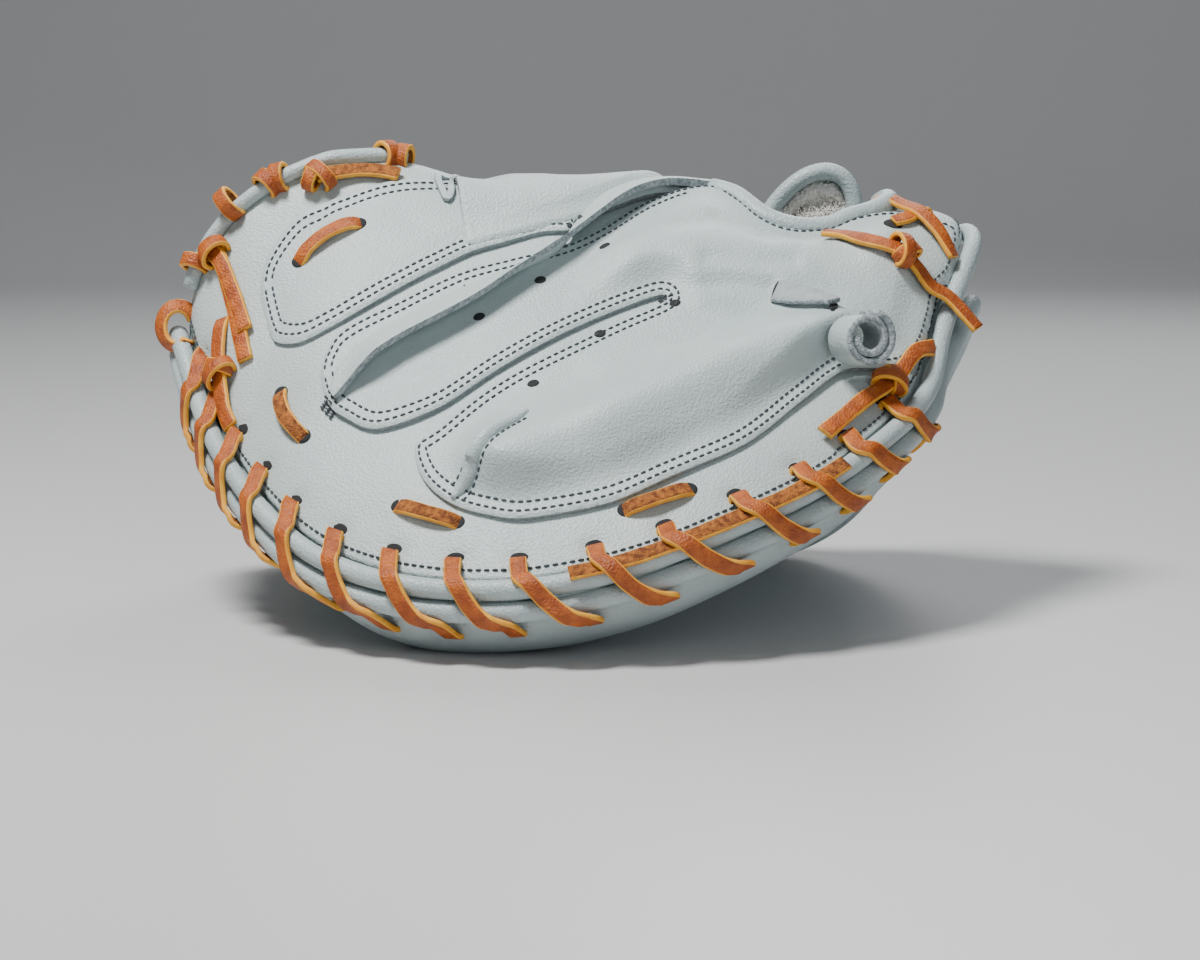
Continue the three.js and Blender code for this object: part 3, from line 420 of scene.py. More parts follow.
@dataclass(frozen=True)
class Look:
    """A finish: two colours mixed by noise, and how rough and bumpy it is.

    Attributes:
        colour: main colour, linear red, green and blue.
        second: colour that the noise mixes in.
        rough: roughness.
        patch: size of the colour patches, in metres.
        grain: size of the fine bumps, in metres, or 0 for none.
        bump: depth of the fine bumps, in metres.
        wrinkle: depth of wide, soft wrinkles, in metres.
        sheen: strength of the sheen.
    """

    colour: tuple[float, float, float]
    second: tuple[float, float, float]
    rough: float
    patch: float = 0.03
    grain: float = 0.0
    bump: float = 0.0
    wrinkle: float = 0.0
    sheen: float = 0.0

    def material(self, name: str) -> bpy.types.Material:
        """The finish as a node material on object coordinates.

        Args:
            name: name of the material.

        Returns:
            The material.
        """
        made = bpy.data.materials.new(name)
        made.use_nodes = True
        nodes, links = made.node_tree.nodes, made.node_tree.links
        shader = nodes["Principled BSDF"]
        shader.inputs["Base Color"].default_value = (*self.colour, 1)
        shader.inputs["Roughness"].default_value = self.rough
        shader.inputs["Sheen Weight"].default_value = self.sheen
        coordinates = nodes.new("ShaderNodeTexCoord")
        patches = nodes.new("ShaderNodeTexNoise")
        patches.inputs["Scale"].default_value = 1 / self.patch
        patches.inputs["Detail"].default_value = 5
        links.new(coordinates.outputs["Object"], patches.inputs["Vector"])
        ramp = nodes.new("ShaderNodeValToRGB")
        for element, level, colour in zip(ramp.color_ramp.elements, PATCH_RAMP, (self.second, self.colour)):
            element.position = level
            element.color = (*colour, 1)
        links.new(patches.outputs["Fac"], ramp.inputs["Fac"])
        links.new(ramp.outputs["Color"], shader.inputs["Base Color"])
        normal = None
        for size, depth, kind, output in (
            (self.grain, self.bump, "ShaderNodeTexVoronoi", "Distance"),
            (WRINKLE_SIZE, self.wrinkle, "ShaderNodeTexNoise", "Fac"),
        ):
            if not size or not depth:
                continue
            source = nodes.new(kind)
            source.inputs["Scale"].default_value = 1 / size
            links.new(coordinates.outputs["Object"], source.inputs["Vector"])
            bump = nodes.new("ShaderNodeBump")
            bump.inputs["Strength"].default_value = 1
            bump.inputs["Distance"].default_value = depth
            links.new(source.outputs[output], bump.inputs["Height"])
            if normal:
                links.new(normal, bump.inputs["Normal"])
            normal = bump.outputs["Normal"]
        if normal:
            links.new(normal, shader.inputs["Normal"])
        return made


LOOKS: dict[Finish, Look] = {
    Finish.BACK: Look((0.5, 0.585, 0.585), (0.45, 0.535, 0.54), 0.46, 0.04, 0.0009, 0.0002, 0.0007),
    Finish.PALM: Look((0.46, 0.54, 0.545), (0.42, 0.5, 0.51), 0.5, 0.04, 0.0009, 0.0002, 0.0008),
    Finish.ROLL: Look((0.43, 0.51, 0.52), (0.39, 0.47, 0.485), 0.42, 0.03, 0.0009, 0.0002, 0.0008),
    Finish.LACE: Look((0.5, 0.115, 0.008), (0.3, 0.055, 0.004), 0.55, 0.005, 0.0008, 0.0003),
    Finish.LACE_FLESH: Look((0.46, 0.15, 0.02), (0.13, 0.032, 0.006), 0.85, 0.0019, 0.0006, 0.0004),
    Finish.LACE_EDGE: Look((0.87, 0.43, 0.035), (0.75, 0.3, 0.02), 0.6, 0.004),
    Finish.CUT_EDGE: Look((0.3, 0.34, 0.35), (0.2, 0.23, 0.24), 0.9, 0.0015, 0.0006, 0.0003),
    Finish.FLAP_EDGE: Look((0.48, 0.53, 0.55), (0.2, 0.24, 0.26), 0.9, 0.0014, 0.0006, 0.0004),
    Finish.SUEDE: Look((0.42, 0.47, 0.48), (0.34, 0.39, 0.4), 0.95, 0.003, 0.0007, 0.0003, sheen=0.3),
    Finish.THREAD: Look((0.05, 0.065, 0.08), (0.04, 0.05, 0.06), 0.7, 0.003),
    # painted shade: near-black colour for the shaded insides of holes, vents and slots
    Finish.PAINTED_HOLE_SHADE: Look((0.02, 0.022, 0.024), (0.015, 0.016, 0.018), 0.9, 0.01),
    Finish.WOOL: Look((0.95, 0.93, 0.88), (0.86, 0.83, 0.76), 0.95, 0.004, 0.0012, 0.0008, sheen=0.6),
    Finish.FLOOR: Look((0.62, 0.63, 0.64), (0.61, 0.62, 0.63), 0.35, 0.5),
}


def linked(name: str, data: bpy.types.ID) -> bpy.types.Object:
    """A new object in the scene."""
    made = bpy.data.objects.new(name, data)
    bpy.context.scene.collection.objects.link(made)
    return made


class Studio:
    """Materials and mesh writing, shared by every sub-assembly."""

    def __init__(self, form: MittForm, shift: Array) -> None:
        self.form = form
        self.shift = shift
        self.materials = {finish: look.material(finish.value) for finish, look in LOOKS.items()}

    def piece(
        self,
        name: str,
        points: Array,
        faces: Sequence[Sequence[int]],
        finishes: Sequence[Finish],
        replaces: Sequence[str] = (),
        record_slot: str = "",
        slots: Optional[Sequence[int]] = None,
    ) -> bpy.types.Object:
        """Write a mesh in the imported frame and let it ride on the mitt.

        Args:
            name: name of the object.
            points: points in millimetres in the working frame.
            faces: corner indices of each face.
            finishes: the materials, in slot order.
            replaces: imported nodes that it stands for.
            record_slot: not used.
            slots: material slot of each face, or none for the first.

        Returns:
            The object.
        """
        mesh = bpy.data.meshes.new(name)
        mesh.from_pydata([tuple(p) for p in (points + self.shift) * MM], [], [tuple(f) for f in faces])
        for finish in finishes:
            mesh.materials.append(self.materials[finish])
        if slots is not None:
            mesh.polygons.foreach_set("material_index", np.asarray(slots, dtype=np.int32))
        mesh.polygons.foreach_set("use_smooth", [True] * len(mesh.polygons))
        self.clean(mesh)
        made = linked(name, mesh)
        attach(made, BODY)
        if replaces:
            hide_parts(*replaces)
        LOG.info("%s: %d faces", name, len(mesh.polygons))
        return made

    @staticmethod
    def clean(mesh: bpy.types.Mesh) -> None:
        """Merge doubled points and turn every face outwards."""
        work = bmesh.new()
        work.from_mesh(mesh)
        bmesh.ops.remove_doubles(work, verts=work.verts, dist=1e-6)
        bmesh.ops.dissolve_degenerate(work, edges=work.edges, dist=1e-7)
        bmesh.ops.recalc_face_normals(work, faces=work.faces)
        work.to_mesh(mesh)
        work.free()
        mesh.update()


@dataclass
class MeshData:
    """Points, faces and material slots gathered before they are written as one piece."""

    points: list = field(default_factory=list)
    faces: list = field(default_factory=list)
    slots: list = field(default_factory=list)
    count: int = 0

    def add(
        self, points: Array, faces: Sequence[Sequence[int]], slots: Optional[Sequence[int]] = None,
    ) -> None:
        """Add one body's points, faces and slots, or none for the first slot."""
        self.points.append(np.asarray(points, float))
        self.faces += [tuple(k + self.count for k in face) for face in faces]
        self.slots += [0] * len(faces) if slots is None else list(slots)
        self.count += len(points)

    def all_points(self) -> Array:
        """Every point as one array."""
        return np.vstack(self.points)


def grid_faces(rows: int, columns: int, wrap_rows: bool = False, wrap_columns: bool = False) -> list:
    """Quads of a grid of points stored row by row."""
    faces = []
    for i in range(rows if wrap_rows else rows - 1):
        for j in range(columns if wrap_columns else columns - 1):
            here, there = i * columns, ((i + 1) % rows) * columns
            nxt = (j + 1) % columns
            faces.append((here + j, there + j, there + nxt, here + nxt))
    return faces


def open_edges(quads: Array) -> list[tuple[int, int]]:
    """Edges that only one quad has, in the order of the quads."""
    edges = dict.fromkeys((a, b) for quad in quads for a, b in zip(quad, np.roll(quad, -1)))
    return [(a, b) for a, b in edges if (b, a) not in edges]


def walled(faces: Sequence[Sequence[int]], edges: Sequence[tuple[int, int]], count: int) -> list:
    """Faces of an upper sheet, the same ones of a lower sheet and walls at the edges.

    Args:
        faces: faces of the upper sheet.
        edges: its open edges, each as its face has it.
        count: points of the upper sheet, which the lower one's points follow.

    Returns:
        Upper faces, lower faces and walls.
    """
    lower = [tuple(k + count for k in reversed(f)) for f in faces]
    return list(faces) + lower + [(b, a, a + count, b + count) for a, b in edges]


def slab_faces(rows: int, columns: int) -> list:
    """Faces of a slab: two grids of points, one after the other, joined round their edges."""
    faces = grid_faces(rows, columns)
    count = rows * columns
    border = list(range(columns)) + [i * columns + columns - 1 for i in range(1, rows)]
    border += list(range(count - 2, count - columns - 1, -1))
    border += [i * columns for i in range(rows - 2, 0, -1)]
    return walled(faces, list(zip(border[1:] + border[:1], border)), count)


def tube(path: Array, across: Array, up: Array, outline: Array, closed: bool) -> tuple[Array, list]:
    """Sweep a closed outline along a path.

    Args:
        path: points of the path.
        across: the outline's first axis at each point.
        up: its second axis at each point.
        outline: rows of (across, up) offsets, or one such set for each path point.
        closed: whether the path is a ring.

    Returns:
        Points and faces. The side faces come first, outline by outline, then two end caps.
    """
    shape = outline if outline.ndim == 3 else np.repeat(outline[None], len(path), 0)
    points = path[:, None] + shape[..., :1] * across[:, None] + shape[..., 1:] * up[:, None]
    sides = shape.shape[1]
    faces = grid_faces(len(path), sides, closed, True)
    if not closed:
        faces.append(tuple(range(sides)))
        faces.append(tuple(range((len(path) - 1) * sides, len(path) * sides)))
    return points.reshape(-1, 3), faces


def circle(radius: float, sides: int) -> Array:
    """A round outline."""
    angle = np.linspace(0, 2 * math.pi, sides, endpoint=False)
    return np.column_stack([np.cos(angle), np.sin(angle)]) * radius


def circles(radius: float, sides: int, swell: Array) -> Array:
    """A round outline for each point of a path, its radius scaled by a swell."""
    return circle(radius, sides)[None] * swell[:, None, None]


# Places of the lacing's holes, in millimetres along the rim from the web tip
NEAR_HOLES = (
    26, 47, 68.1, 90.8, 112.9, 135.8, 159, 181.3, 202.2, 226.5, 250, 276, 300.5, 324, 347, 370,
)
FAR_FIRST_HOLE = 553.0
FAR_PITCH = 22.2
FAR_HOLES = tuple(FAR_FIRST_HOLE + FAR_PITCH * k for k in range(12))
TUCKED_FROM_X, TUCKED_TO_X = -1.0, 84.0

# The wrist opening's edge
WRIST: Plan = (
    (47, 19), (55, 11), (64, 2), (76, -1), (92, 2), (106, 8), (110, 18), (104, 32), (90, 40), (70, 40),
    (54, 32),
)


def nearest_on_side(start: Array, end: Array, points: Array) -> Array:
    """The nearest place of a straight side for each plan point."""
    side = end - start
    share = np.clip(((points - start) @ side) / max(side @ side, TINY), 0, 1)
    return start + share[:, None] * side


def distance_to(outline: Array, points: Array) -> Array:
    """Signed distance from plan points to a closed outline, positive inside."""
    ring = np.vstack([outline, outline[:1]])
    inside = np.zeros(len(points), bool)
    for a, b in zip(ring[:-1], ring[1:]):
        crosses = (a[1] > points[:, 1]) != (b[1] > points[:, 1])
        rise = b[1] - a[1] if b[1] != a[1] else TINY
        inside ^= crosses & (points[:, 0] < a[0] + (points[:, 1] - a[1]) * (b[0] - a[0]) / rise)
    best = line_distance(ring, points)
    return np.where(inside, best, -best)


def nearest_on(outline: Array, points: Array) -> Array:
    """The nearest place of a closed outline for each plan point."""
    best = np.full(len(points), FAR_AWAY)
    place = points.copy()
    for a, b in zip(outline, np.roll(outline, -1, axis=0)):
        spot = nearest_on_side(a, b, points)
        gap = np.hypot(*(points - spot).T)
        closer = gap < best
        best[closer] = gap[closer]
        place[closer] = spot[closer]
    return place


def line_distance(line: Array, points: Array) -> Array:
    """Distance from plan points to an open line."""
    best = np.full(len(points), FAR_AWAY)
    for a, b in zip(line[:-1], line[1:]):
        best = np.minimum(best, np.hypot(*(points - nearest_on_side(a, b, points)).T))
    return best


def smooth_outline(points: Plan, step: float = 0.8) -> Array:
    """A closed outline through plan points."""
    return even(np.array(points, float), step, True)


@dataclass
class Panel:
    """A leather panel laid over the back: an outline in plan, a wall and a relief.

    Attributes:
        name: name of the piece.
        outline: closed outline in plan.
        lift: height of the panel's underside over the back at plan points, given the distance in
            from the outline.
        thick: thickness of the leather.
        cell: spacing of its points.
        round_edge: radius of the rounded upper edge.
        edge_finish: finish of its cut edge.
    """

    name: str
    outline: Array
    lift: Callable[[Array, Array], Array]
    thick: float = LEATHER
    cell: float = 0.85
    round_edge: float = 0.8
    edge_finish: Finish = Finish.CUT_EDGE

    def inside(self, plan: Array) -> Array:
        """Distance in from the outline."""
        return distance_to(self.outline, plan)

    def build(self, studio: Studio, node: str) -> None:
        """Make the panel as a grid cut to its outline.

        Args:
            studio: the shared studio.
            node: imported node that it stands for.
        """
        low, high = self.outline.min(0) - self.cell, self.outline.max(0) + self.cell
        xs = np.arange(low[0], high[0] + self.cell, self.cell)
        ys = np.arange(low[1], high[1] + self.cell, self.cell)
        plan = np.column_stack(crossed(xs, ys))
        depth = self.inside(plan)
        quads = np.array(grid_faces(len(xs), len(ys)))
        kept = (depth[quads] > 0.15 * self.cell).sum(1) >= 3
        kept |= ((depth[quads] > 0).sum(1) >= 2) & (depth[quads].mean(1) > 0)
        quads = quads[kept]
        used, corners = np.unique(quads, return_inverse=True)
        quads = corners.reshape(quads.shape)
        plan = plan[used]
        rim = open_edges(quads)
        rim_points = np.unique(rim)
        plan[rim_points] = nearest_on(self.outline, plan[rim_points])
        depth = np.maximum(self.inside(plan), 0)
        depth[rim_points] = 0
        base = self.lift(plan, depth)
        fall = self.round_edge - np.sqrt(
            np.maximum(0, self.round_edge ** 2 - np.maximum(0, self.round_edge - depth) ** 2))
        top, _ = studio.form.height_map.point(plan, base + self.thick - fall)
        bottom, _ = studio.form.height_map.point(plan, base)
        made = studio.piece(
            self.name, np.vstack([top, bottom]), walled(quads.tolist(), rim, len(plan)),
            (Finish.BACK, self.edge_finish), (node,), "back_leather",
            [0] * (2 * len(quads)) + [1] * len(rim),
        )
        self.crisp(made)

    @staticmethod
    def crisp(made: bpy.types.Object) -> None:
        """Keep the edge between grain side and cut edge sharp."""
        work = bmesh.new()
        work.from_mesh(made.data)
        for edge in work.edges:
            if len({face.material_index for face in edge.link_faces}) > 1:
                edge.smooth = False
        work.to_mesh(made.data)
        work.free()


class StitchRow(NamedTuple):
    """A section of one stitch: its share of the length, its scale and its rise over the leather."""

    share: float
    scale: float
    rise: float


STITCH = (
    StitchRow(0, 0.25, -0.25), StitchRow(0.12, 0.85, 0.05), StitchRow(0.5, 1.05, 0.16),
    StitchRow(0.88, 0.85, 0.05), StitchRow(1, 0.25, -0.25),
)


@dataclass
class Stitching:
    """Rows of sewn thread gathered into one piece."""

    studio: Studio
    data: MeshData = field(default_factory=MeshData)
    radius: float = 0.42
    pitch: float = 2.7
    gap: float = 0.7
    sides: int = 5
    jump: float = 4.0
    shortest: int = 5

    def row(self, points: Array, normals: Array, closed: bool = False) -> None:
        """Lay stitches along points on a surface.

        Args:
            points: the line that the stitches follow.
            normals: the surface's normals there.
            closed: whether the line is a ring.
        """
        line = np.vstack([points, points[:1]]) if closed else points
        facing = np.vstack([normals, normals[:1]]) if closed else normals
        lengths = running_length(line)
        shares, sizes, rises = np.array(STITCH).T
        for k in range(int(lengths[-1] // self.pitch)):
            at = k * self.pitch + shares * (self.pitch - self.gap)
            spots = np.column_stack([np.interp(at, lengths, line[:, i]) for i in range(3)])
            up = unit(np.column_stack([np.interp(at, lengths, facing[:, i]) for i in range(3)]))
            across = unit(np.cross(up, heading(spots)))
            shape = circles(self.radius, self.sides, sizes)
            self.data.add(*tube(spots + up * rises[:, None], across, up, shape, False))

    def along_panel(
        self, panel: Panel, inset: float, kept: Optional[Callable[[Array], Array]] = None,
    ) -> None:
        """Stitch a panel at a distance inside its outline.

        Args:
            panel: the panel.
            inset: distance in from the outline.
            kept: which plan points are stitched, or all of them.
        """
        outline = panel.outline
        ahead = unit(np.roll(outline, -3, axis=0) - np.roll(outline, 3, axis=0))
        inward = np.column_stack([-ahead[:, 1], ahead[:, 0]])
        if distance_to(outline, outline[:1] + inward[:1])[0] < 0:
            inward = -inward
        moved = outline + inward * inset
        good = distance_to(outline, moved) > inset * 0.93
        if kept is not None:
            good &= kept(moved)
        self.on_panel(panel, moved[good])

    def on_panel(self, panel: Panel, line: Array) -> None:
        """Stitch a plan line on a panel's face, split where it jumps."""
        jumps = np.where(np.hypot(*np.diff(line, axis=0).T) > self.jump)[0]
        for part in np.split(line, jumps + 1):
            if len(part) >= self.shortest:
                lift = panel.lift(part, np.maximum(panel.inside(part), 0)) + panel.thick
                self.row(*self.studio.form.height_map.point(part, lift))

    def finish(self) -> None:
        """Write the thread as one piece."""
        self.studio.piece("stitching", self.data.all_points(), self.data.faces, (Finish.THREAD,))


class Band:
    """A flat leather lace: grain side, flesh side and two cut edges."""

    CORNER = 0.22       # cut corners of its section, as a share of its thickness
    SWAY = 0.05         # how much its width wanders

    def __init__(
        self,
        studio: Studio,
        name: str,
        replaces: Sequence[str] = (),
        finishes: Sequence[Finish] = (Finish.LACE, Finish.LACE_FLESH, Finish.LACE_EDGE),
        record_slot: str = "lace_leather",
    ) -> None:
        self.studio = studio
        self.name = name
        self.replaces = replaces
        self.finishes = finishes
        self.record_slot = record_slot
        self.data = MeshData()

    @staticmethod
    def section(width: float, thick: float) -> tuple[Array, list[int]]:
        """A rounded oblong and the slot of each of its sides: 0 grain, 1 flesh, 2 edge."""
        w, t, c = width / 2, thick / 2, min(width, thick) * Band.CORNER
        corners = [
            (-w, -t + c), (-w + c, -t), (-w / 3, -t), (w / 3, -t), (w - c, -t), (w, -t + c),
            (w, t - c), (w - c, t), (w / 3, t), (-w / 3, t), (-w + c, t), (-w, t - c),
        ]
        slots = [2, 1, 1, 1, 2, 2, 2, 0, 0, 0, 2, 2]
        return np.array(corners), slots

    def add(
        self,
        path: Array,
        ways: Array,
        width: float = LACE_WIDTH,
        thick: float = LACE_THICK,
        step: float = 1.0,
        closed: bool = False,
        outward: Optional[Array] = None,
        flip: bool = False,
    ) -> None:
        """Add a length of lace along points.

        Args:
            path: points that it passes through.
            ways: the direction of its width at each of them.
            width: its width.
            thick: its thickness.
            step: spacing of its sections.
            closed: whether it is a ring.
            outward: a direction at each point that its grain side should face, or none.
            flip: whether its flesh side is turned up.
        """
        directions = np.hstack([ways] + ([outward] if outward is not None else []))
        dense = even(np.hstack([path, directions * 0.01]), step, closed)
        points, way = dense[:, :3], unit(dense[:, 3:6])
        ahead = heading(points, closed)
        across = unit(way - (way * ahead).sum(1, keepdims=True) * ahead)
        up = np.cross(ahead, across)
        if outward is not None:
            turned = (up * dense[:, 6:9]).sum(1) < 0
            up = np.where(turned.mean() > 0.5, -up, up)
        if flip:
            up = -up
        outline, slots = self.section(width, thick)
        sway = 1 + self.SWAY * ripple(points, 9, len(self.data.points) + 3)
        shape = outline[None] * np.stack([sway, np.ones(len(points))], -1)[:, None]
        body, faces = tube(points, across, up, shape, closed)
        kinds = list(np.tile(slots, len(points) if closed else len(points) - 1))
        if not closed:
            kinds += [2, 2]
        self.data.add(body, faces, kinds)

    def over(self, points: Array, normals: Array, *sizes: float, flip: bool = False) -> None:
        """Add a length of lace along points of a surface with these normals."""
        self.add(points, unit(np.cross(normals, heading(points))), *sizes, outward=normals, flip=flip)

    def finish(self) -> None:
        """Write the lace as one piece."""
        self.studio.piece(
            self.name, self.data.all_points(), self.data.faces, self.finishes, self.replaces,
            self.record_slot, self.data.slots,
        )


@dataclass
class Shell:
    """The back of the mitt under its panels, and the palm.

    Attributes:
        studio: the shared studio.
        columns: points round the rim.
        rings: points from the ridge to the rim.
        dent: depth of the leather pulled in at each back hole, and its reach.
        pull: the same at each palm hole.
        back_waves: height and length of the back's soft waves.
        palm_waves: the same of the palm.
        back_crowd: how much the back's points crowd towards the rim.
        palm_crowd: the same of the palm.
    """

    studio: Studio
    columns: int = 560
    rings: int = 84
    dent: tuple[float, float] = (1.1, 4.2)
    pull: tuple[float, float] = (1.0, 4.5)
    back_waves: tuple[float, float] = (0.4, 42.0)
    palm_waves: tuple[float, float] = (0.7, 36.0)
    back_crowd: float = 1.15
    palm_crowd: float = 2.2

    def grid(self, power: float) -> tuple[Array, Array]:
        """Places and shares whose rings crowd towards the rim by a power."""
        places = np.linspace(0, 1, self.columns, endpoint=False)
        return crossed(places, 1 - (1 - np.linspace(0, 1, self.rings)) ** power)

    @staticmethod
    def pulled(points: Array, holes: Array, size: tuple[float, float]) -> Array:
        """How far the leather is drawn in at points round punched holes."""
        depth, reach = size
        away = np.linalg.norm(points[:, None] - holes, axis=2)
        return depth * np.exp(-(away / reach) ** 2).sum(1)

    def build_back(self, holes: Array) -> None:
        """Make the back with its wrist opening.

        Args:
            holes: back ends of the punched holes.
        """
        form = self.studio.form
        place, share = self.grid(self.back_crowd)
        points = form.back(place, share)
        height, length = self.back_waves
        nudge = height * ripple(points, length, 3) * smooth(1.0, 0.9, share)
        nudge -= self.pulled(points, holes, self.dent)
        ahead = form.back(place + 0.001, share) - form.back(place - 0.001, share)
        outwards = form.back(place, np.minimum(share + 0.004, 1)) - form.back(place, share - 0.004)
        normal = unit(np.cross(outwards, ahead))
        normal = np.where(normal[:, 2:3] < 0, -normal, normal)
        points = points + normal * nudge[:, None]
        wrist = smooth_outline(WRIST)
        depth = -distance_to(wrist, points[:, :2])
        quads = np.array(grid_faces(self.columns, self.rings, True))
        quads = quads[(depth[quads] > 0).any(1)]
        touched = np.unique(quads)
        moving = touched[depth[touched] < 0]
        points[moving, :2] = nearest_on(wrist, points[moving, :2])
        rim = open_edges(quads)
        self.studio.piece(
            "back", np.vstack([points, points - normal * LEATHER]),
            walled(quads.tolist(), rim, len(points)), (Finish.BACK, Finish.CUT_EDGE), ("back_shell",),
            "back_leather", [0] * (2 * len(quads)) + [1] * len(rim),
        )

    def build_palm(self, holes: Array) -> None:
        """Make the padded palm: lip, pocket and the face under the hand.

        Args:
            holes: palm ends of the punched holes.
        """
        form = self.studio.form
        place, share = self.grid(self.palm_crowd)
        under = form.under(place, share)
        height, length = self.palm_waves
        nudge = height * ripple(under, length, 11) * smooth(0.99, 0.9, share) * smooth(1, 7, under[:, 2])
        nudge += self.pulled(under, holes, self.pull)
        under[:, 2] = np.maximum(under[:, 2] + nudge, 0)
        over = form.back(place, share, False)
        depth = form.ridge(form.rim(place)[:, 0] * SPINE_SHARE)[:, 3]
        room = np.maximum(0, depth - HAND_ROOM) * smooth(0.93, 0.7, share)
        over[:, 2] -= LEATHER + 1 + room
        over[:, 2] = np.maximum(over[:, 2], under[:, 2] + 1)
        outer = [i * self.rings + self.rings - 1 for i in range(self.columns)]
        faces = walled(
            grid_faces(self.columns, self.rings, True), list(zip(outer, outer[1:] + outer[:1])), len(under),
        )
        made = self.studio.piece(
            "padded_palm", np.vstack([under, over]), faces, (Finish.PALM,), ("palm",), "palm_leather",
        )


class TopFace:
    """The uppermost leather at plan points: the back itself or a panel sewn on it."""

    def __init__(self, form: MittForm, panels: Sequence[Panel]) -> None:
        self.form = form
        self.panels = panels

    def lift(self, plan: Array) -> Array:
        """Height of the top leather over the back."""
        best = np.zeros(len(plan))
        for panel in self.panels:
            depth = panel.inside(plan)
            raised = panel.lift(plan, np.maximum(depth, 0)) + panel.thick
            best = np.where(depth > 0, np.maximum(best, raised), best)
        return best

    def point(self, plan: Array, extra: Array) -> tuple[Array, Array]:
        """Points at an extra height over the top leather, and normals there."""
        here, right, ahead = (
            self.form.height_map.point(plan + step, self.lift(plan + step))[0]
            for step in ((0.0, 0.0), (1.2, 0.0), (0.0, 1.2))
        )
        normal = np.cross(right - here, ahead - here)
        steep = unit(normal)[:, 2] < 0.25
        normal = unit(normal)
        normal[steep] = self.form.height_map.point(plan[steep], 0.0)[1]
        return here + normal * np.asarray(extra, float).reshape(-1, 1), normal


# rings of the dark ovals that paint the shade inside holes
HOLE_SIDES = 20
HOLE_RINGS = ((1.0, -0.1), (0.92, 0.25), (0.5, 0.22), (0.1, 0.22))   # share of its size, height


@dataclass
class PaintedHoleShade:
    """Painted shade of punched holes and slits: dark ovals gathered into one piece."""

    studio: Studio
    data: MeshData = field(default_factory=MeshData)

    def oval(self, centre: Array, normal: Array, way: Array, long: float, wide: float) -> None:
        """A shallow dark oval lying on the leather, painted shade where a hole opens.

        Args:
            centre: its middle on the surface.
            normal: the surface's normal.
            way: direction of its long axis.
            long: half its length.
            wide: half its width.
        """
        ahead = unit(way - (way @ normal) * normal)
        side = np.cross(normal, ahead)
        rings = []
        for share, height in HOLE_RINGS:
            spots = circle(share, HOLE_SIDES)
            offsets = np.outer(spots[:, 0] * long, ahead) + np.outer(spots[:, 1] * wide, side)
            rings.append(centre + normal * height + offsets)
        count = len(HOLE_RINGS)
        faces = grid_faces(count, HOLE_SIDES, False, True)
        faces.append(tuple(range((count - 1) * HOLE_SIDES, count * HOLE_SIDES)))
        self.data.add(np.vstack(rings), faces)

    def finish(self) -> None:
        """Write the painted shade of every hole as one piece."""
        self.studio.piece("painted_hole_shade", self.data.all_points(), self.data.faces, (Finish.PAINTED_HOLE_SHADE,))


class TurnRow(NamedTuple):
    """A point of a turn of lace: its share of the pitch, the roll it rounds and its angle there."""

    share: float
    roll: float
    degrees: float


TURN = (
    TurnRow(0.1, 1, 76), TurnRow(0.16, 1, 48), TurnRow(0.24, 1, 20), TurnRow(0.38, 0, 0),
    TurnRow(0.55, -1, -12), TurnRow(0.7, -1, -38), TurnRow(0.88, -1, -68),
)


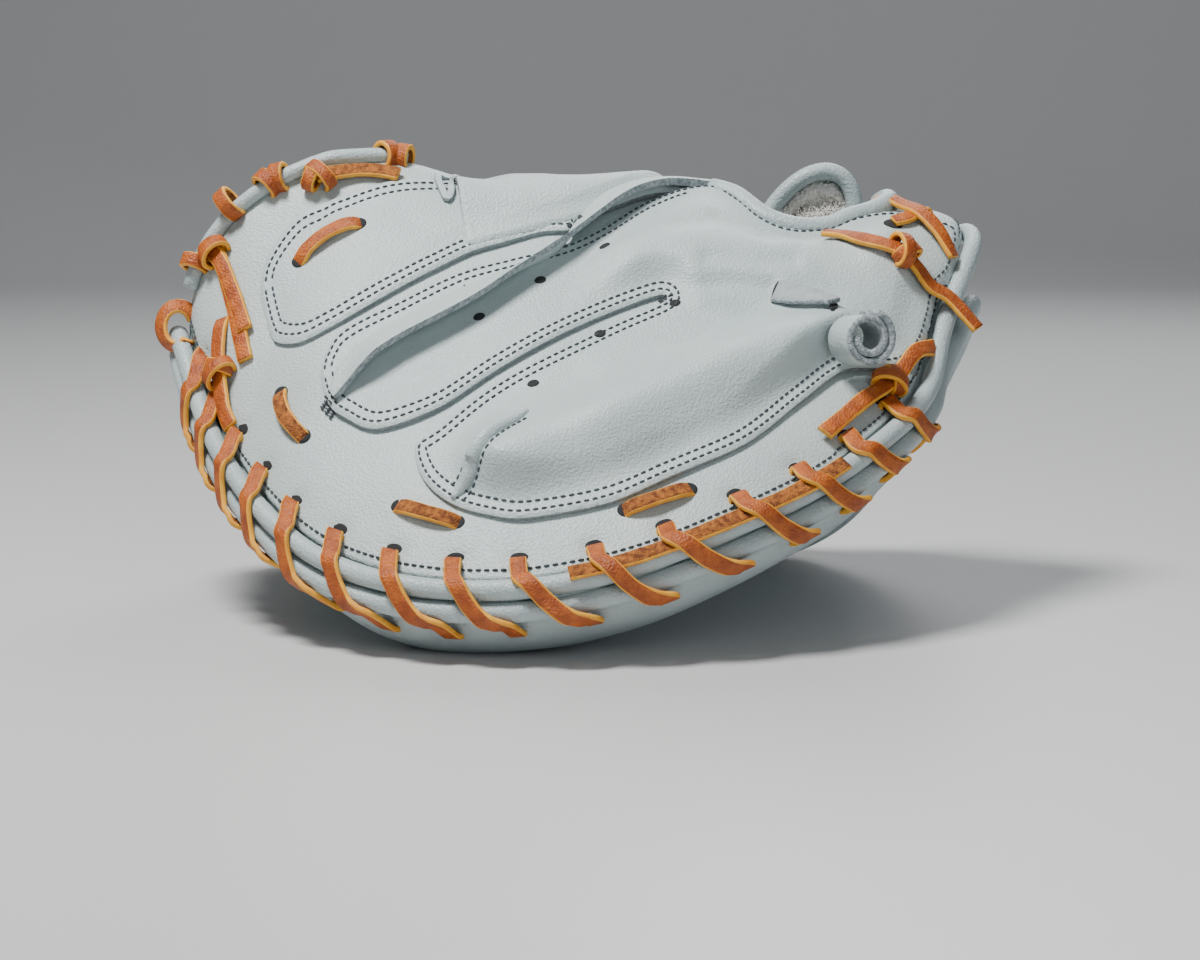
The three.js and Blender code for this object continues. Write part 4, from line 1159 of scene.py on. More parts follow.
@dataclass
class Rim:
    """The two piped rolls round the rim and the lacing that runs over them."""

    studio: Studio
    stitching: Stitching

    COLUMNS = 620
    SEAM_INSET = 2.6        # stitched seam, up the leather from its edge
    # half sizes of the dark ovals of painted shade in the back holes
    HOLE_SIZE = (3.1, 1.8)
    SWELL = (0.035, 16.0)   # share and length of the rolls' swelling
    LEAN = 0.02             # how much a turn may shift along the rim, as a share of its pitch
    SLACK = 0.3             # room between a turn and the rolls
    TUCKED_ANGLE = 52       # degrees round the upper roll
    TUCKED_BAND = (5.4, 1.4)
    TUCKED_ROOM = 1.5       # how much the turns rise over the tucked lace end
    TUCKED_FADE = (9, 3)    # where a turn starts and ends its rise, beyond the tucked lace end
    ROOT = 3.0              # length of each turn's ends inside the leather

    def up_from_edge(self, place: float, inset: float, reach: float, count: int) -> Array:
        """The back's point at an inset up the leather from its edge.

        Args:
            place: place round the rim.
            inset: distance from the edge.
            reach: least share that is looked at.
            count: points that are looked at.

        Returns:
            The point.
        """
        line = self.studio.form.back(np.full(count, place), np.linspace(1, reach, count))
        return line[np.argmax(np.linalg.norm(line - line[0], axis=1) >= inset)]

    def holes(self, lengths: Sequence[float]) -> tuple[Array, Array]:
        """Back and palm ends of a run of holes.

        Args:
            lengths: lengths along the rim.

        Returns:
            Points on the back and on the palm.
        """
        form = self.studio.form
        tops, bottoms = [], []
        for place in form.place_at(np.array(lengths, float)):
            tops.append(self.up_from_edge(place, HOLE_INSET, 0.5, 251))
            rim = form.rim(np.array([place]))
            ridge = form.ridge(rim[:, 0] * SPINE_SHARE)
            span = math.hypot(rim[0, 0] - ridge[0, 0], rim[0, 1] - ridge[0, 1])
            bottoms.append(form.under(np.array([place]), np.array([1 - PALM_HOLE_INSET / span]))[0])
        return np.array(tops), np.array(bottoms)

    def build_rolls(self) -> None:
        """Make both piped rolls and the seam stitched inside the upper one."""
        form = self.studio.form
        places = np.linspace(0, 1, self.COLUMNS, endpoint=False)
        for name, side, gap, node in (
            ("back_roll_leather", 1, True, "back_roll"), ("palm_roll_leather", -1, False, "palm_roll"),
        ):
            joint, _, out, up = form.frames(places, gap)
            path = joint + out * ROLL_OUT + up * (side * ROLL_PITCH)
            swell = 1 + self.SWELL[0] * ripple(path, self.SWELL[1], 20 + side)
            points, faces = tube(path, out, up, circles(ROLL_RADIUS, 16, swell), True)
            self.studio.piece(name, points, faces, (Finish.ROLL,), (node,), "roll_leather")
        line = np.array([self.up_from_edge(place, self.SEAM_INSET, 0.8, 40) for place in places])
        normals = unit(np.array([0, 0, 1.0]) + form.frames(places)[2])
        self.stitching.row(line + normals * 0.1, normals, True)

    def build_lacing(self) -> None:
        """Run the lace through both lines of holes."""
        near = Band(self.studio, "near_lacing", ("near_rim_lace",))
        far = Band(self.studio, "far_lacing", ("far_rim_lace",))
        for band, lengths in ((near, NEAR_HOLES), (far, FAR_HOLES)):
            tops, bottoms = self.holes(lengths)
            for k in range(len(lengths) - 1):
                self.turn(band, lengths[k:k + 2], tops[k], bottoms[k + 1], k)
            band.finish()

    def turn(self, band: Band, ends: Sequence[float], top: Array, bottom: Array, seed: int) -> None:
        """One turn of lace, out of a back hole, over both rolls and into the next palm hole.

        Args:
            band: the lace that it belongs to.
            ends: lengths along the rim of its two holes.
            top: the back hole.
            bottom: the palm hole.
            seed: its number.
        """
        form = self.studio.form
        source = random.Random(seed * 31 + SEED)
        lean = source.uniform(-self.LEAN, self.LEAN)
        parts, sides, degrees = np.array(TURN, float).T
        angles = np.radians(degrees)
        low, high = (form.length_at_x(x) for x in (TUCKED_FROM_X, TUCKED_TO_X))
        lengths = lerp(ends[0], ends[1], parts + lean)
        far, near = self.TUCKED_FADE
        over = smooth(low - far, low - near, lengths) * smooth(high + far, high + near, lengths)
        reach = ROLL_RADIUS + LACE_THICK / 2 + self.SLACK + over * self.TUCKED_ROOM
        joint, along, out, up = form.frames(form.place_at(lengths))
        path = joint + out * (ROLL_OUT + reach * np.cos(angles))[:, None]
        path += up * (sides * ROLL_PITCH + reach * np.sin(angles))[:, None]
        start, end = form.frames(form.place_at(np.array(ends, float)))[1:3]
        lifted = np.array([0, 0, 1.0])
        path = np.vstack([
            top - lifted * self.ROOT, top + lifted * 0.4 + end[0], path, bottom + end[1] * 1.2,
            bottom - end[1] * self.ROOT,
        ])
        ways = np.vstack([start[:1], start[:1], along, start[1:], start[1:]])
        facing = out * np.cos(angles)[:, None] + up * np.sin(angles)[:, None]
        outward = np.vstack([lifted, lifted, facing, -lifted, -lifted])
        band.add(path, ways, LACE_WIDTH * source.uniform(0.95, 1.03), outward=outward)

    def mark_holes(self, holes: PaintedHoleShade) -> None:
        """Painted shade: dark ovals in the holes where the lacing leaves the back."""
        form = self.studio.form
        for lengths in (NEAR_HOLES, FAR_HOLES):
            tops, _ = self.holes(lengths)
            _, along, out, _ = form.frames(form.place_at(np.array(lengths, float)))
            spots, normals = form.height_map.point(tops[:, :2] - out[:, :2] * 1.1, -0.85)
            for spot, normal, way in zip(spots, normals, along):
                holes.oval(spot, normal, way, *self.HOLE_SIZE)

    def build_tucked(self) -> None:
        """Lay the straight lace end on the upper roll, under the turns."""
        form = self.studio.form
        lengths = np.linspace(form.length_at_x(TUCKED_FROM_X), form.length_at_x(TUCKED_TO_X), 16)
        joint, along, out, up = form.frames(form.place_at(lengths))
        angle = math.radians(self.TUCKED_ANGLE)
        facing = out * math.cos(angle) + up * math.sin(angle)
        path = joint + out * ROLL_OUT + up * ROLL_PITCH + facing * (ROLL_RADIUS + 0.85)
        ways = np.cross(along, facing)
        band = Band(self.studio, "tucked_lace_end", ("tucked_lace",))
        band.add(path, ways, *self.TUCKED_BAND, outward=facing, flip=True)
        band.finish()


# Panels of the back, as outlines in plan
COVER_OUTLINE: Plan = (
    (-84, -47), (-82, -41), (-77, -37), (-59, -32), (-39, -24), (-22, -20), (-6, -16), (8, -8), (25, 6),
    (45, 16), (56, 9), (64, 1), (74, -2), (92, 2), (108, 5), (121, 4), (130.5, 3), (130, -4),
    (126.5, -11), (121.5, -17.5), (118.5, -26), (115, -36), (110, -44), (100, -50.5), (88, -55),
    (73, -69), (53, -87), (27, -98), (8, -104), (-14, -106), (-27, -103), (-39, -97), (-48, -88),
    (-51, -78), (-43, -74), (-28, -65), (-5, -54), (14, -44.5), (27, -38.5), (30.5, -36), (28, -34.5),
    (16, -39), (1, -46), (-24, -58.5), (-44, -68), (-63, -69), (-75, -62), (-81, -56),
)
INDEX_OUTLINE: Plan = (
    (-107.5, -13), (-105, -7), (-96, -0.5), (-85, 1.5), (-75, 2.5), (-54, 7), (-40, 10), (-26, 13),
    (-12, 12), (-4, 2), (0, -8), (-12, -10), (-24, -13.5), (-36, -17), (-48, -23), (-60, -28.5),
    (-72, -33), (-82, -35), (-92, -34), (-101, -28), (-105.5, -20),
)
FLAP_TOP: Plan = (
    (-80, -54), (-77, -48.5), (-70, -43.5), (-58, -39.5), (-39, -32), (-22, -26.5), (-8, -20),
    (-1, -9), (5, 0.5), (13, 8.5), (24, 15), (36, 18.5), (48, 20),
)
FLAP_EDGE: Plan = (
    (-78, -57), (-70, -53.5), (-58, -49), (-45, -44.5), (-32, -39), (-21, -32), (-11, -25),
    (-1, -17), (8, -8.5), (17, 0), (26, 7), (36, 12.8), (48, 17),
)
HOOD_OUTLINE: Plan = (
    (-37.2, -15.2), (-36, -15.4), (-30, -14), (-20, -11.5), (-10, -8.5), (0, -5), (10, 0), (22, 7),
    (34, 13), (44, 18), (44, 25), (34, 30), (16, 31), (-4, 31), (-24, 30), (-42, 28), (-43.5, 27),
    (-43.8, 18), (-43.2, 10), (-41.5, 2), (-39.5, -6), (-37.8, -13.5),
)
HOOD_LOW: Plan = (
    (-38, -15.4), (-30, -14), (-20, -11.5), (-10, -8.5), (0, -5), (10, 0), (22, 7), (34, 13),
)
HOOD_FINGER: Plan = ((-46, 1), (-24, 2), (-4, 5), (12, 9), (28, 15))


class ReliefRow(NamedTuple):
    """A hump or hollow of the hand cover: its height, its reach and the line that it follows."""

    height: float
    reach: float
    line: Plan


COVER_RELIEF = (
    ReliefRow(11, 11.5, ((-22, -92), (0, -86), (30, -74), (62, -58), (84, -46))),
    ReliefRow(6.5, 17, ((20, -22), (45, -18), (70, -20), (98, -18))),
    ReliefRow(-1.4, 7, ((-66, -56), (-40, -50), (-14, -36), (10, -24))),
    ReliefRow(-2.2, 9, ((40, -46), (66, -38), (84, -34))),
    ReliefRow(-1.7, 3.2, ((36, -34), (52, -31), (64, -31))),
    ReliefRow(-1.19, 3, ((44, -24), (60, -24), (72, -22))),
    ReliefRow(-2.4, 4.5, ((-4, -22), (22, -10), (48, -5), (64, -10))),
)
PANEL_SEAT = 0.15           # room between a flat panel and the back
INDEX_SEAMS = (1.9, 4.1)    # rows of stitches, in from the index panel's edge
COVER_SEAMS = (1.6, 3.9)
FLAP_STAND = 6.0            # height of the flap's free edge
FLAP_SINK = 1.6             # how far its sewn side lies in the leather
FLAP_OPEN = (-79, -62)      # x over which it opens at its corner
FLAP_FLAT = (52, 12)        # x over which it lies flat at its far end
HOOD_ROUND = 6.0            # reach of the hood's rounded side
HOOD_RISE = 4.0             # height of the finger under it
HOOD_REACH = 8.0            # reach of the finger
HOOD_FADE = (46, 22)        # x over which it goes under the flap
HOOD_TUCK = 2.0             # how far its hidden end lies in the leather


def bell(plan: Array, line: Plan, reach: float) -> Array:
    """A rounded hump along a line, 1 on it and falling away over a reach."""
    return np.exp(-(line_distance(np.array(line, float), plan) / reach) ** 2)


@dataclass
class Back:
    """The sewn panels of the back: finger stalls, hand cover, flap and hood."""

    studio: Studio
    stitching: Stitching

    def cover_lift(self, plan: Array, depth: Array) -> Array:
        """Relief of the stall and hand cover over the back."""
        relief = sum(row.height * bell(plan, row.line, row.reach) for row in COVER_RELIEF)
        relief += 0.8 * ripple(plan, 30, 5)
        return PANEL_SEAT + np.maximum(relief, -0.1) * smooth(2.5, 12, depth)

    def index_lift(self, plan: Array, depth: Array) -> Array:
        """Padding of the index finger's panel."""
        return PANEL_SEAT + 0.9 * smooth(2.5, 10, depth) + 0.25 * ripple(plan, 24, 6) * smooth(2, 9, depth)

    def flap_lift(self, plan: Array, _depth: Array) -> Array:
        """Height of the flap: flush at its sewn side, standing off at its free edge."""
        top = line_distance(even(np.array(FLAP_TOP, float), 1.0), plan)
        edge = line_distance(even(np.array(FLAP_EDGE, float), 1.0), plan)
        share = top / np.maximum(top + edge, 1e-6)
        flat = smooth(*FLAP_FLAT, plan[:, 0])
        open_end = smooth(*FLAP_OPEN, plan[:, 0]) * flat
        seat = LEATHER - FLAP_SINK + FLAP_SINK * smooth(0, 0.12, share) * flat
        return seat + FLAP_STAND * share ** 1.3 * open_end

    def hood_lift(self, plan: Array, depth: Array) -> Array:
        """Height of the hood over the index finger."""
        rise = np.clip(line_distance(np.array(HOOD_LOW, float), plan) / HOOD_ROUND, 0, 1)
        side = np.sqrt(1 - (1 - rise) ** 2) + HOOD_RISE * bell(plan, HOOD_FINGER, HOOD_REACH) * rise
        folds = 0.35 * ripple(plan, 26, 8) * smooth(0, 12, depth)
        shown = smooth(*HOOD_FADE, plan[:, 0])
        shown *= 1 - smooth(7, 15, plan[:, 1]) * smooth(-22, -38, plan[:, 0])
        return (LEATHER * 0.3 + side + folds) * shown - HOOD_TUCK * (1 - shown)

    def build(self) -> TopFace:
        """Make the panels and sew them.

        Returns:
            The top leather that other pieces lie on.
        """
        cover = Panel("hand_cover", smooth_outline(COVER_OUTLINE), self.cover_lift, cell=0.8)
        cover.build(self.studio, "stall_cover")
        index = Panel("index_finger_panel", smooth_outline(INDEX_OUTLINE), self.index_lift)
        index.build(self.studio, "index_panel")
        flap_line = np.vstack([
            even(np.array(FLAP_TOP, float), 0.8), even(np.array(FLAP_EDGE, float), 0.8)[::-1],
        ])
        flap = Panel(
            "ring_finger_flap", flap_line, self.flap_lift, thick=3.3, cell=0.7, round_edge=0.5,
            edge_finish=Finish.FLAP_EDGE,
        )
        flap.build(self.studio, "ring_flap")
        hood = Panel("index_hood", smooth_outline(HOOD_OUTLINE), self.hood_lift, cell=0.8)
        hood.build(self.studio, "finger_hood")
        self.sew(cover, index)
        return TopFace(self.studio.form, (cover, index, flap, hood))

    def sew(self, cover: Panel, index: Panel) -> None:
        """Double rows of stitches inside the panels' edges."""
        for inset in INDEX_SEAMS:
            self.stitching.along_panel(index, inset)
        outer, inner = COVER_SEAMS
        self.stitching.along_panel(cover, outer)
        self.stitching.along_panel(cover, inner, lambda plan: (plan[:, 0] < 40) | (plan[:, 1] < -52))


@dataclass(frozen=True)
class Knot:
    """A knot's place, its tails and its wraps.

    Attributes:
        name: name of the piece.
        node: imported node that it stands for.
        centre: plan position of its body.
        tails: each tail's plan points and lifts, from the body outwards.
        hangs: working points past the leather's edge, added to each tail.
        size: scale of its wraps.
        lean: degrees between its two wraps.
        flesh: whether its tails show their flesh side.
    """

    name: str
    node: str
    centre: tuple[float, float]
    tails: tuple[Lay, Lay]
    hangs: tuple[Lay, Lay] = ((), ())
    size: float = 1.0
    lean: float = 50.0
    flesh: bool = False


class WrapRow(NamedTuple):
    """A wrap of a knot.

    Attributes:
        lean: its share of the knot's lean.
        wide: half its width.
        high: half its height.
        shift: how far it lies along the tails.
        start: first angle in radians.
        end: last angle.
        count: points along it.
        closed: whether it is a ring.
    """

    lean: float
    wide: float
    high: float
    shift: float
    start: float
    end: float
    count: int
    closed: bool


WRAPS = (
    WrapRow(-0.5, 4.9, 3.5, -1.2, 0, 2 * math.pi, 18, True),
    WrapRow(0.5, 5.6, 4.3, 1.2, -0.7, math.pi + 0.7, 14, False),
)
WRAP_BAND = (4.6, 1.7)      # width and thickness of a wrap's lace
KNOT_LIFT = 2.9             # middle of a knot over the leather
PAD_BAND = 5.2              # width of a pad lace
# half sizes of the dark ovals of painted shade at pad lace and heel lace holes
PAD_HOLE = (2.9, 2.7)
HEEL_HOLE = (3.4, 3.0)

KNOTS = (
    Knot("heel_knot_upper", "heel_knot_high", (109, -16), (
        ((104, -14.5, 1.6), (98, -12, 0.8), (91, -9.5, 0.5), (84.5, -8, 1.2)),
        ((113, -17.5, 1.5), (118, -19.5, 1.2)),
    ), ((), ((127, -22.5, 106.5), (136, -26, 96.5))), 1.05, 60),
    Knot("heel_knot_lower", "heel_knot_low", (103, -54.5), (
        ((99, -59, 2.4), (93, -65, 2.6), (86, -72.5, 2.6), (79.5, -79, 2.6)),
        ((106, -50, 2.2), (111, -42, 1.6), (117.5, -32.5, 2)),
    ), lean=65),
    Knot("web_knot_lower", "web_knot_low", (-119.5, -24), (
        ((-118.5, -29, 1.6), (-117, -34, 1.4), (-114.5, -39.5, 1.2)),
        ((-120.8, -19.5, 1.2), (-121.5, -14, 0.3), (-122, -11, -2.5)),
    ), lean=55),
    Knot("web_knot_upper", "web_knot_high", (-124.5, 2.5), (
        ((-121, -3, 1.8), (-116.5, -11, 1.0), (-112, -20.5, 1.0)),
        ((-122, -1.5, 0.6), (-117, -12.5, 0.3), (-111.5, -27, 0.3)),
    ), size=0.95, lean=12),
    Knot("web_knot_top", "web_knot_top", (-90, 7), (
        ((-85, 7.5, 2.2), (-77, 8, 1.6), (-69, 7.6, 1.4), (-62, 6.6, 1.6)),
        ((-93, 10, 1.0), (-96, 13, -1)),
    ), lean=70, flesh=True),
)


@dataclass(frozen=True)
class PadLace:
    """A short lace between two holes of the back.

    Attributes:
        name: name of the piece.
        node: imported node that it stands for.
        start: plan position of its first hole.
        end: plan position of its second hole.
        bow: sideways bend of its middle.
        flesh: whether it shows its flesh side.
    """

    name: str
    node: str
    start: tuple[float, float]
    end: tuple[float, float]
    bow: float
    flesh: bool


PAD_LACES = (
    PadLace("finger_pad_lace", "pad_lace_a", (-57, -91.5), (-36, -102.5), -0.8, True),
    PadLace("middle_pad_lace", "pad_lace_b", (15, -105), (37, -99.5), -0.8, True),
    PadLace("web_pad_lace", "pad_lace_c", (-99, -42), (-89, -61), -1.2, True),
    PadLace("index_pad_lace", "pad_lace_d", (-95, -12), (-73, -8.5), 0.8, False),
)
PAD_LACE_RISE: Plan = (     # share of the way between its holes, lift
    (0.0, -2.6), (0.1, -0.3), (0.25, 0.8), (0.5, 1.3), (0.75, 0.8), (0.9, -0.3), (1.0, -2.6),
)
HEEL_LACE: Lay = (
    (105.5, 17, -1.5), (108, 13, 1.6), (113, 7.5, 2.2), (118, 2, 2.2), (123, -3, 1.6),
    (126.5, -7.5, 0.6),
)
HEEL_CROSS: Lay = ((109, -1.5, 0.2), (114, 0.5, 0.7), (119.5, 4, 0.6), (123, 7, -1.5))


@dataclass
class Laces:
    """The laces that lie on the back: pad laces, knots with their tails and the heel lace."""

    studio: Studio
    top: TopFace
    holes: PaintedHoleShade

    def lay(
        self,
        band: Band,
        rows: Lay,
        hang: Lay = (),
        start: Optional[Array] = None,
        width: float = LACE_WIDTH,
        flip: bool = False,
    ) -> None:
        """Lay a length of lace over the leather.

        Args:
            band: the lace that it belongs to.
            rows: plan points and lifts over the leather.
            hang: working points past the leather's edge.
            start: a working point that it comes from, or none.
            width: its width.
            flip: whether its flesh side is up.
        """
        table = np.array(rows, float)
        points, normals = self.top.point(table[:, :2], table[:, 2] + LACE_THICK / 2 + 0.15)
        if start is not None:
            points = np.vstack([start, points])
            normals = np.vstack([normals[:1], normals])
        if hang:
            points = np.vstack([points, np.array(hang, float)])
            normals = np.vstack([normals] + [normals[-1:]] * len(hang))
        band.over(points, normals, width, flip=flip)

    def pad_lace(self, spec: PadLace) -> None:
        """A short lace that comes out of one hole and goes into the next."""
        first, last = np.array(spec.start, float), np.array(spec.end, float)
        across = unit(np.array([-(last - first)[1], (last - first)[0]]))
        rows = []
        for share, lift in PAD_LACE_RISE:
            spot = lerp(first, last, share) + across * spec.bow * math.sin(math.pi * share)
            rows.append((spot[0], spot[1], lift))
        band = Band(self.studio, spec.name, (spec.node,))
        self.lay(band, rows, width=PAD_BAND, flip=spec.flesh)
        band.finish()
        # painted shade: a dark oval at each of its holes
        ends = np.vstack([lerp(first, last, 0.05), lerp(first, last, 0.95)])
        spots, normals = self.top.point(ends, 0.0)
        way = np.append(last - first, 0.0)
        for spot, normal in zip(spots, normals):
            self.holes.oval(spot, normal, way, *PAD_HOLE)

    def knot(self, spec: Knot) -> None:
        """A knot: two crossing wraps round the joined tails."""
        band = Band(self.studio, spec.name, (spec.node,))
        size = spec.size
        seat, normal = (a[0] for a in self.top.point(np.array([spec.centre], float), KNOT_LIFT * size))
        tips, _ = self.top.point(np.array([tail[0][:2] for tail in spec.tails], float), KNOT_LIFT)
        along = unit(tips[0] - seat)
        along = unit(along - (along @ normal) * normal)
        across = np.cross(normal, along)
        for k, (tail, hang) in enumerate(zip(spec.tails, spec.hangs)):
            start = seat + normal * (0.5 - k)
            self.lay(band, tail, hang, start, flip=spec.flesh and k == 0)
        width, thick = WRAP_BAND
        for wrap in WRAPS:
            turn = math.radians(spec.lean * wrap.lean)
            axis = along * math.cos(turn) + across * math.sin(turn)
            side = np.cross(normal, axis)
            angles = np.linspace(wrap.start, wrap.end, wrap.count, endpoint=not wrap.closed)
            ring = seat + along * wrap.shift * size
            ring = ring + oval_points(angles, side, normal, wrap.wide * size, wrap.high * size)
            ways = np.tile(axis, (len(ring), 1))
            facing = oval_points(angles, side, normal)
            band.add(ring, ways, width * size, thick, closed=wrap.closed, outward=facing)
        band.finish()

    def build(self) -> None:
        """Make every lace that lies on the back."""
        for spec in PAD_LACES:
            self.pad_lace(spec)
        for spec in KNOTS:
            self.knot(spec)
        band = Band(self.studio, "heel_lace_strands", ("heel_lace",))
        self.lay(band, HEEL_CROSS, width=5.0)
        self.lay(band, HEEL_LACE)
        band.finish()
        # painted shade: a dark oval at each heel lace hole
        spots, normals = self.top.point(np.array([HEEL_LACE[0][:2], HEEL_CROSS[0][:2]], float), 0.0)
        for spot, normal in zip(spots, normals):
            self.holes.oval(spot, normal, np.array([1.0, -0.6, 0.0]), *HEEL_HOLE)


WEB_EDGE: Plan = (
    (-133, 5), (-128, 7), (-121, 8.5), (-112, 9), (-98, 10), (-84, 12), (-72, 14), (-60, 16),
)
WEB_ROLL = 2.7          # radius of the web's piping
LOOP_BAND = (5.2, 1.8)  # width and thickness of the loops' lace
LOOP_POINTS = 16
TIP_CENTRE = (-139.2, 1.0, 95.0)
TIP_SIZE = (5.6, 6.9)   # half sizes of the open loop
TIP_DEPTH = 4.0         # how far its ends lie before and behind its middle
TIP_BAND = (5.4, 1.8)


@dataclass(frozen=True)
class WebLoop:
    """A lace loop round the web's piping: its x, its radius, its lean and how far it opens."""

    x: float
    radius: float
    lean: float
    rise: float


WEB_LOOPS = (
    WebLoop(-130, 4.4, 12, 1.0), WebLoop(-117.5, 5.2, -10, 3.2), WebLoop(-107, 4.5, 28, 0.6),
    WebLoop(-103, 4.4, -24, 0.4), WebLoop(-67, 4.3, 35, 0.2), WebLoop(-61, 4.0, -30, -0.4),
)


@dataclass
class Web:
    """The piping along the web's edge and the laces that loop round it."""

    studio: Studio

    def build(self) -> None:
        """Make the piping, its loops and the open loop at the web's tip."""
        form = self.studio.form
        line = even(np.array(WEB_EDGE, float), 1.0)
        path, normals = form.height_map.point(line, WEB_ROLL - 0.4)
        ahead = heading(path)
        across = unit(np.cross(normals, ahead))
        up = np.cross(ahead, across)
        swell = WEB_ROLL * (1 + 0.05 * ripple(path, 14, 31))
        points, faces = tube(path, across, up, circles(1.0, 14, swell), False)
        self.studio.piece(
            "web_piping", points, faces, (Finish.ROLL,), ("web_roll",), "roll_leather")
        band = Band(self.studio, "web_lacing", ("web_loop_1", "web_loop_2"))
        for loop in WEB_LOOPS:
            k = int(np.argmin(np.abs(line[:, 0] - loop.x)))
            turn = math.radians(loop.lean)
            axis = ahead[k] * math.cos(turn) + across[k] * math.sin(turn)
            side = unit(np.cross(up[k], axis))
            angles = np.linspace(0, 2 * math.pi, LOOP_POINTS, endpoint=False)
            facing = oval_points(angles, side, up[k])
            ring = path[k] + up[k] * loop.rise + facing * loop.radius
            band.add(ring, np.tile(axis, (len(ring), 1)), *LOOP_BAND, closed=True, outward=facing)
        band.finish()
        self.tip_loop()

    def tip_loop(self) -> None:
        """The open loop of lace that stands off both rolls at the web's tip."""
        band = Band(self.studio, "web_tip_loop", ("web_end_loop",))
        angles = np.radians(np.linspace(20, 320, 20))
        ring = np.array(TIP_CENTRE) + oval_points(angles, (1, 0, 0), (0, 0, 1), *TIP_SIZE)
        ring[:, 1] += np.linspace(TIP_DEPTH, -TIP_DEPTH, len(ring))
        facing = oval_points(angles, (1, 0, 0), (0, 0, 1))
        nearer = np.array([0.0, -1.0, 0.0])
        ways = facing * 0.75 - nearer * 0.65
        band.add(ring, ways, *TIP_BAND, outward=facing * 0.65 + nearer * 0.75)
        band.finish()


SCROLL_CENTRE = (92.8, -62.5, 96.6)
SCROLL_AXIS = (0.35, -0.93, 0.1)
SCROLL_TURNS = 1.7
SCROLL_START = -1.2         # radians
SCROLL_RADIUS = 8.8
SCROLL_CLOSING = 4.6        # how much the radius falls along the roll
SCROLL_BAND = (15.0, 2.3)
WINDOW_STRAP = (8.6, 1.6)
WINDOW_EDGE = (5.0, 1.3)    # half sizes of the painted shade at the slot's two ends
WINDOW_LINE: Lay = ((66.5, -33, 1.1), (72, -34.8, 2.4), (78, -37.2, 2.8), (83.5, -40, 2.2))
PLEAT_HEIGHT = 3.3
PLEAT_HALF_WIDTH = 2.7
PLEAT_SEAM = 3.1            # stitches to each side of the pleat
PLEAT_LINE: Plan = ((-38, -96.5), (-34, -93.5), (-30, -90), (-25, -85.5), (-20, -81), (-15, -76.5))


@dataclass
class Straps:
    """The wrist strap: its rolled end, the window that it shows through and the pleat."""

    studio: Studio
    top: TopFace
    holes: PaintedHoleShade
    stitching: Stitching

    def scroll(self) -> None:
        """Strap end rolled into a scroll whose end faces the viewer."""
        axis = unit(np.array(SCROLL_AXIS))
        side = unit(np.array([1.0, 0, 0]) - axis[0] * axis)
        upward = unit(np.cross(side, axis))
        share = np.linspace(0, 1, 60)
        angles = share * SCROLL_TURNS * 2 * math.pi + SCROLL_START
        radius = SCROLL_RADIUS - SCROLL_CLOSING * share ** 1.1
        path = np.array(SCROLL_CENTRE) + oval_points(angles, side, upward, radius, radius)
        facing = oval_points(angles, side, upward)
        band = Band(
            self.studio, "strap_scroll_leather", ("strap_scroll",),
            (Finish.BACK, Finish.SUEDE, Finish.FLAP_EDGE), "back_leather",
        )
        band.add(path, np.tile(axis, (len(path), 1)), *SCROLL_BAND, outward=facing)
        band.finish()

    def window(self) -> None:
        """Suede strap seen through a slot of the hand cover."""
        rows = np.array(WINDOW_LINE, float)
        points, normals = self.top.point(rows[:, :2], rows[:, 2])
        band = Band(
            self.studio, "window_strap", ("strap_window",),
            (Finish.SUEDE, Finish.SUEDE, Finish.FLAP_EDGE), "suede",
        )
        band.over(points, normals, *WINDOW_STRAP)
        band.finish()
        # painted shade: dark ovals at the slot's two ends
        side = np.array([0.35, 0.9, 0.6])
        for spot, normal in zip(*self.top.point(rows[[0, -1], :2], 0.5)):
            self.holes.oval(spot, normal, side, *WINDOW_EDGE)

    def pleat(self) -> None:
        """Folded pleat of the little finger's stall."""
        line = even(np.array(PLEAT_LINE, float), 0.8)
        path, normals = self.top.point(line, 0.2)
        across = unit(np.cross(normals, heading(path)))
        share = np.linspace(0, 1, len(path))
        height = PLEAT_HEIGHT * np.sin(math.pi * np.clip(share, 0.03, 0.97)) ** 0.5
        angle = np.linspace(-0.3, math.pi + 0.3, 12)
        sizes = np.stack([np.minimum(height, PLEAT_HALF_WIDTH), height], -1)
        shape = np.stack([np.cos(angle), np.sin(angle)], -1)[None] * sizes[:, None]
        points, faces = tube(path, across, normals, shape, False)
        self.studio.piece(
            "stall_pleat", points, faces, (Finish.BACK,), ("little_finger_pleat",), "back_leather")
        ahead = heading(line)
        for offset in (-PLEAT_SEAM, PLEAT_SEAM):
            beside = line + np.column_stack([-ahead[:, 1], ahead[:, 0]]) * offset
            self.stitching.row(*self.top.point(beside[2:-2], 0.05))

    def build(self) -> None:
        """Make the scroll, the window and the pleat."""
        self.scroll()
        self.window()
        self.pleat()


BINDING_RADIUS = 3.7
EDGE_RADIUS = 3.1       # roll along the arch's near edge
STRANDS = 2200          # strands of fleece
STRAND_LENGTH = 2.6
STRAND_RADII = (0.28, 0.1)
FLEECE_LUMPS = 2.4      # height of the lining's lumps
MOUND_FROM = 7.0        # how far the fleece reaches before the arch's near edge
MOUND_SPAN = 14.0


@dataclass(frozen=True)
class ArchSize:
    """Sizes of the arched strap beyond the wrist opening.

    Attributes:
        x: its middle.
        half_width: half its width at the floor of the arch.
        height: height over the back at its near edge.
        skew: how far its top leans to the right.
        from_y: near edge.
        to_y: far edge.
        thick: thickness of its leather.
        rows: points from near to far of each wall.
        columns: points over each wall.
    """

    x: float = 80.0
    half_width: float = 19.0
    height: float = 30.0
    skew: float = 9.0
    from_y: float = 41.0
    to_y: float = 73.0
    thick: float = 2.6
    rows: int = 46
    columns: int = 72


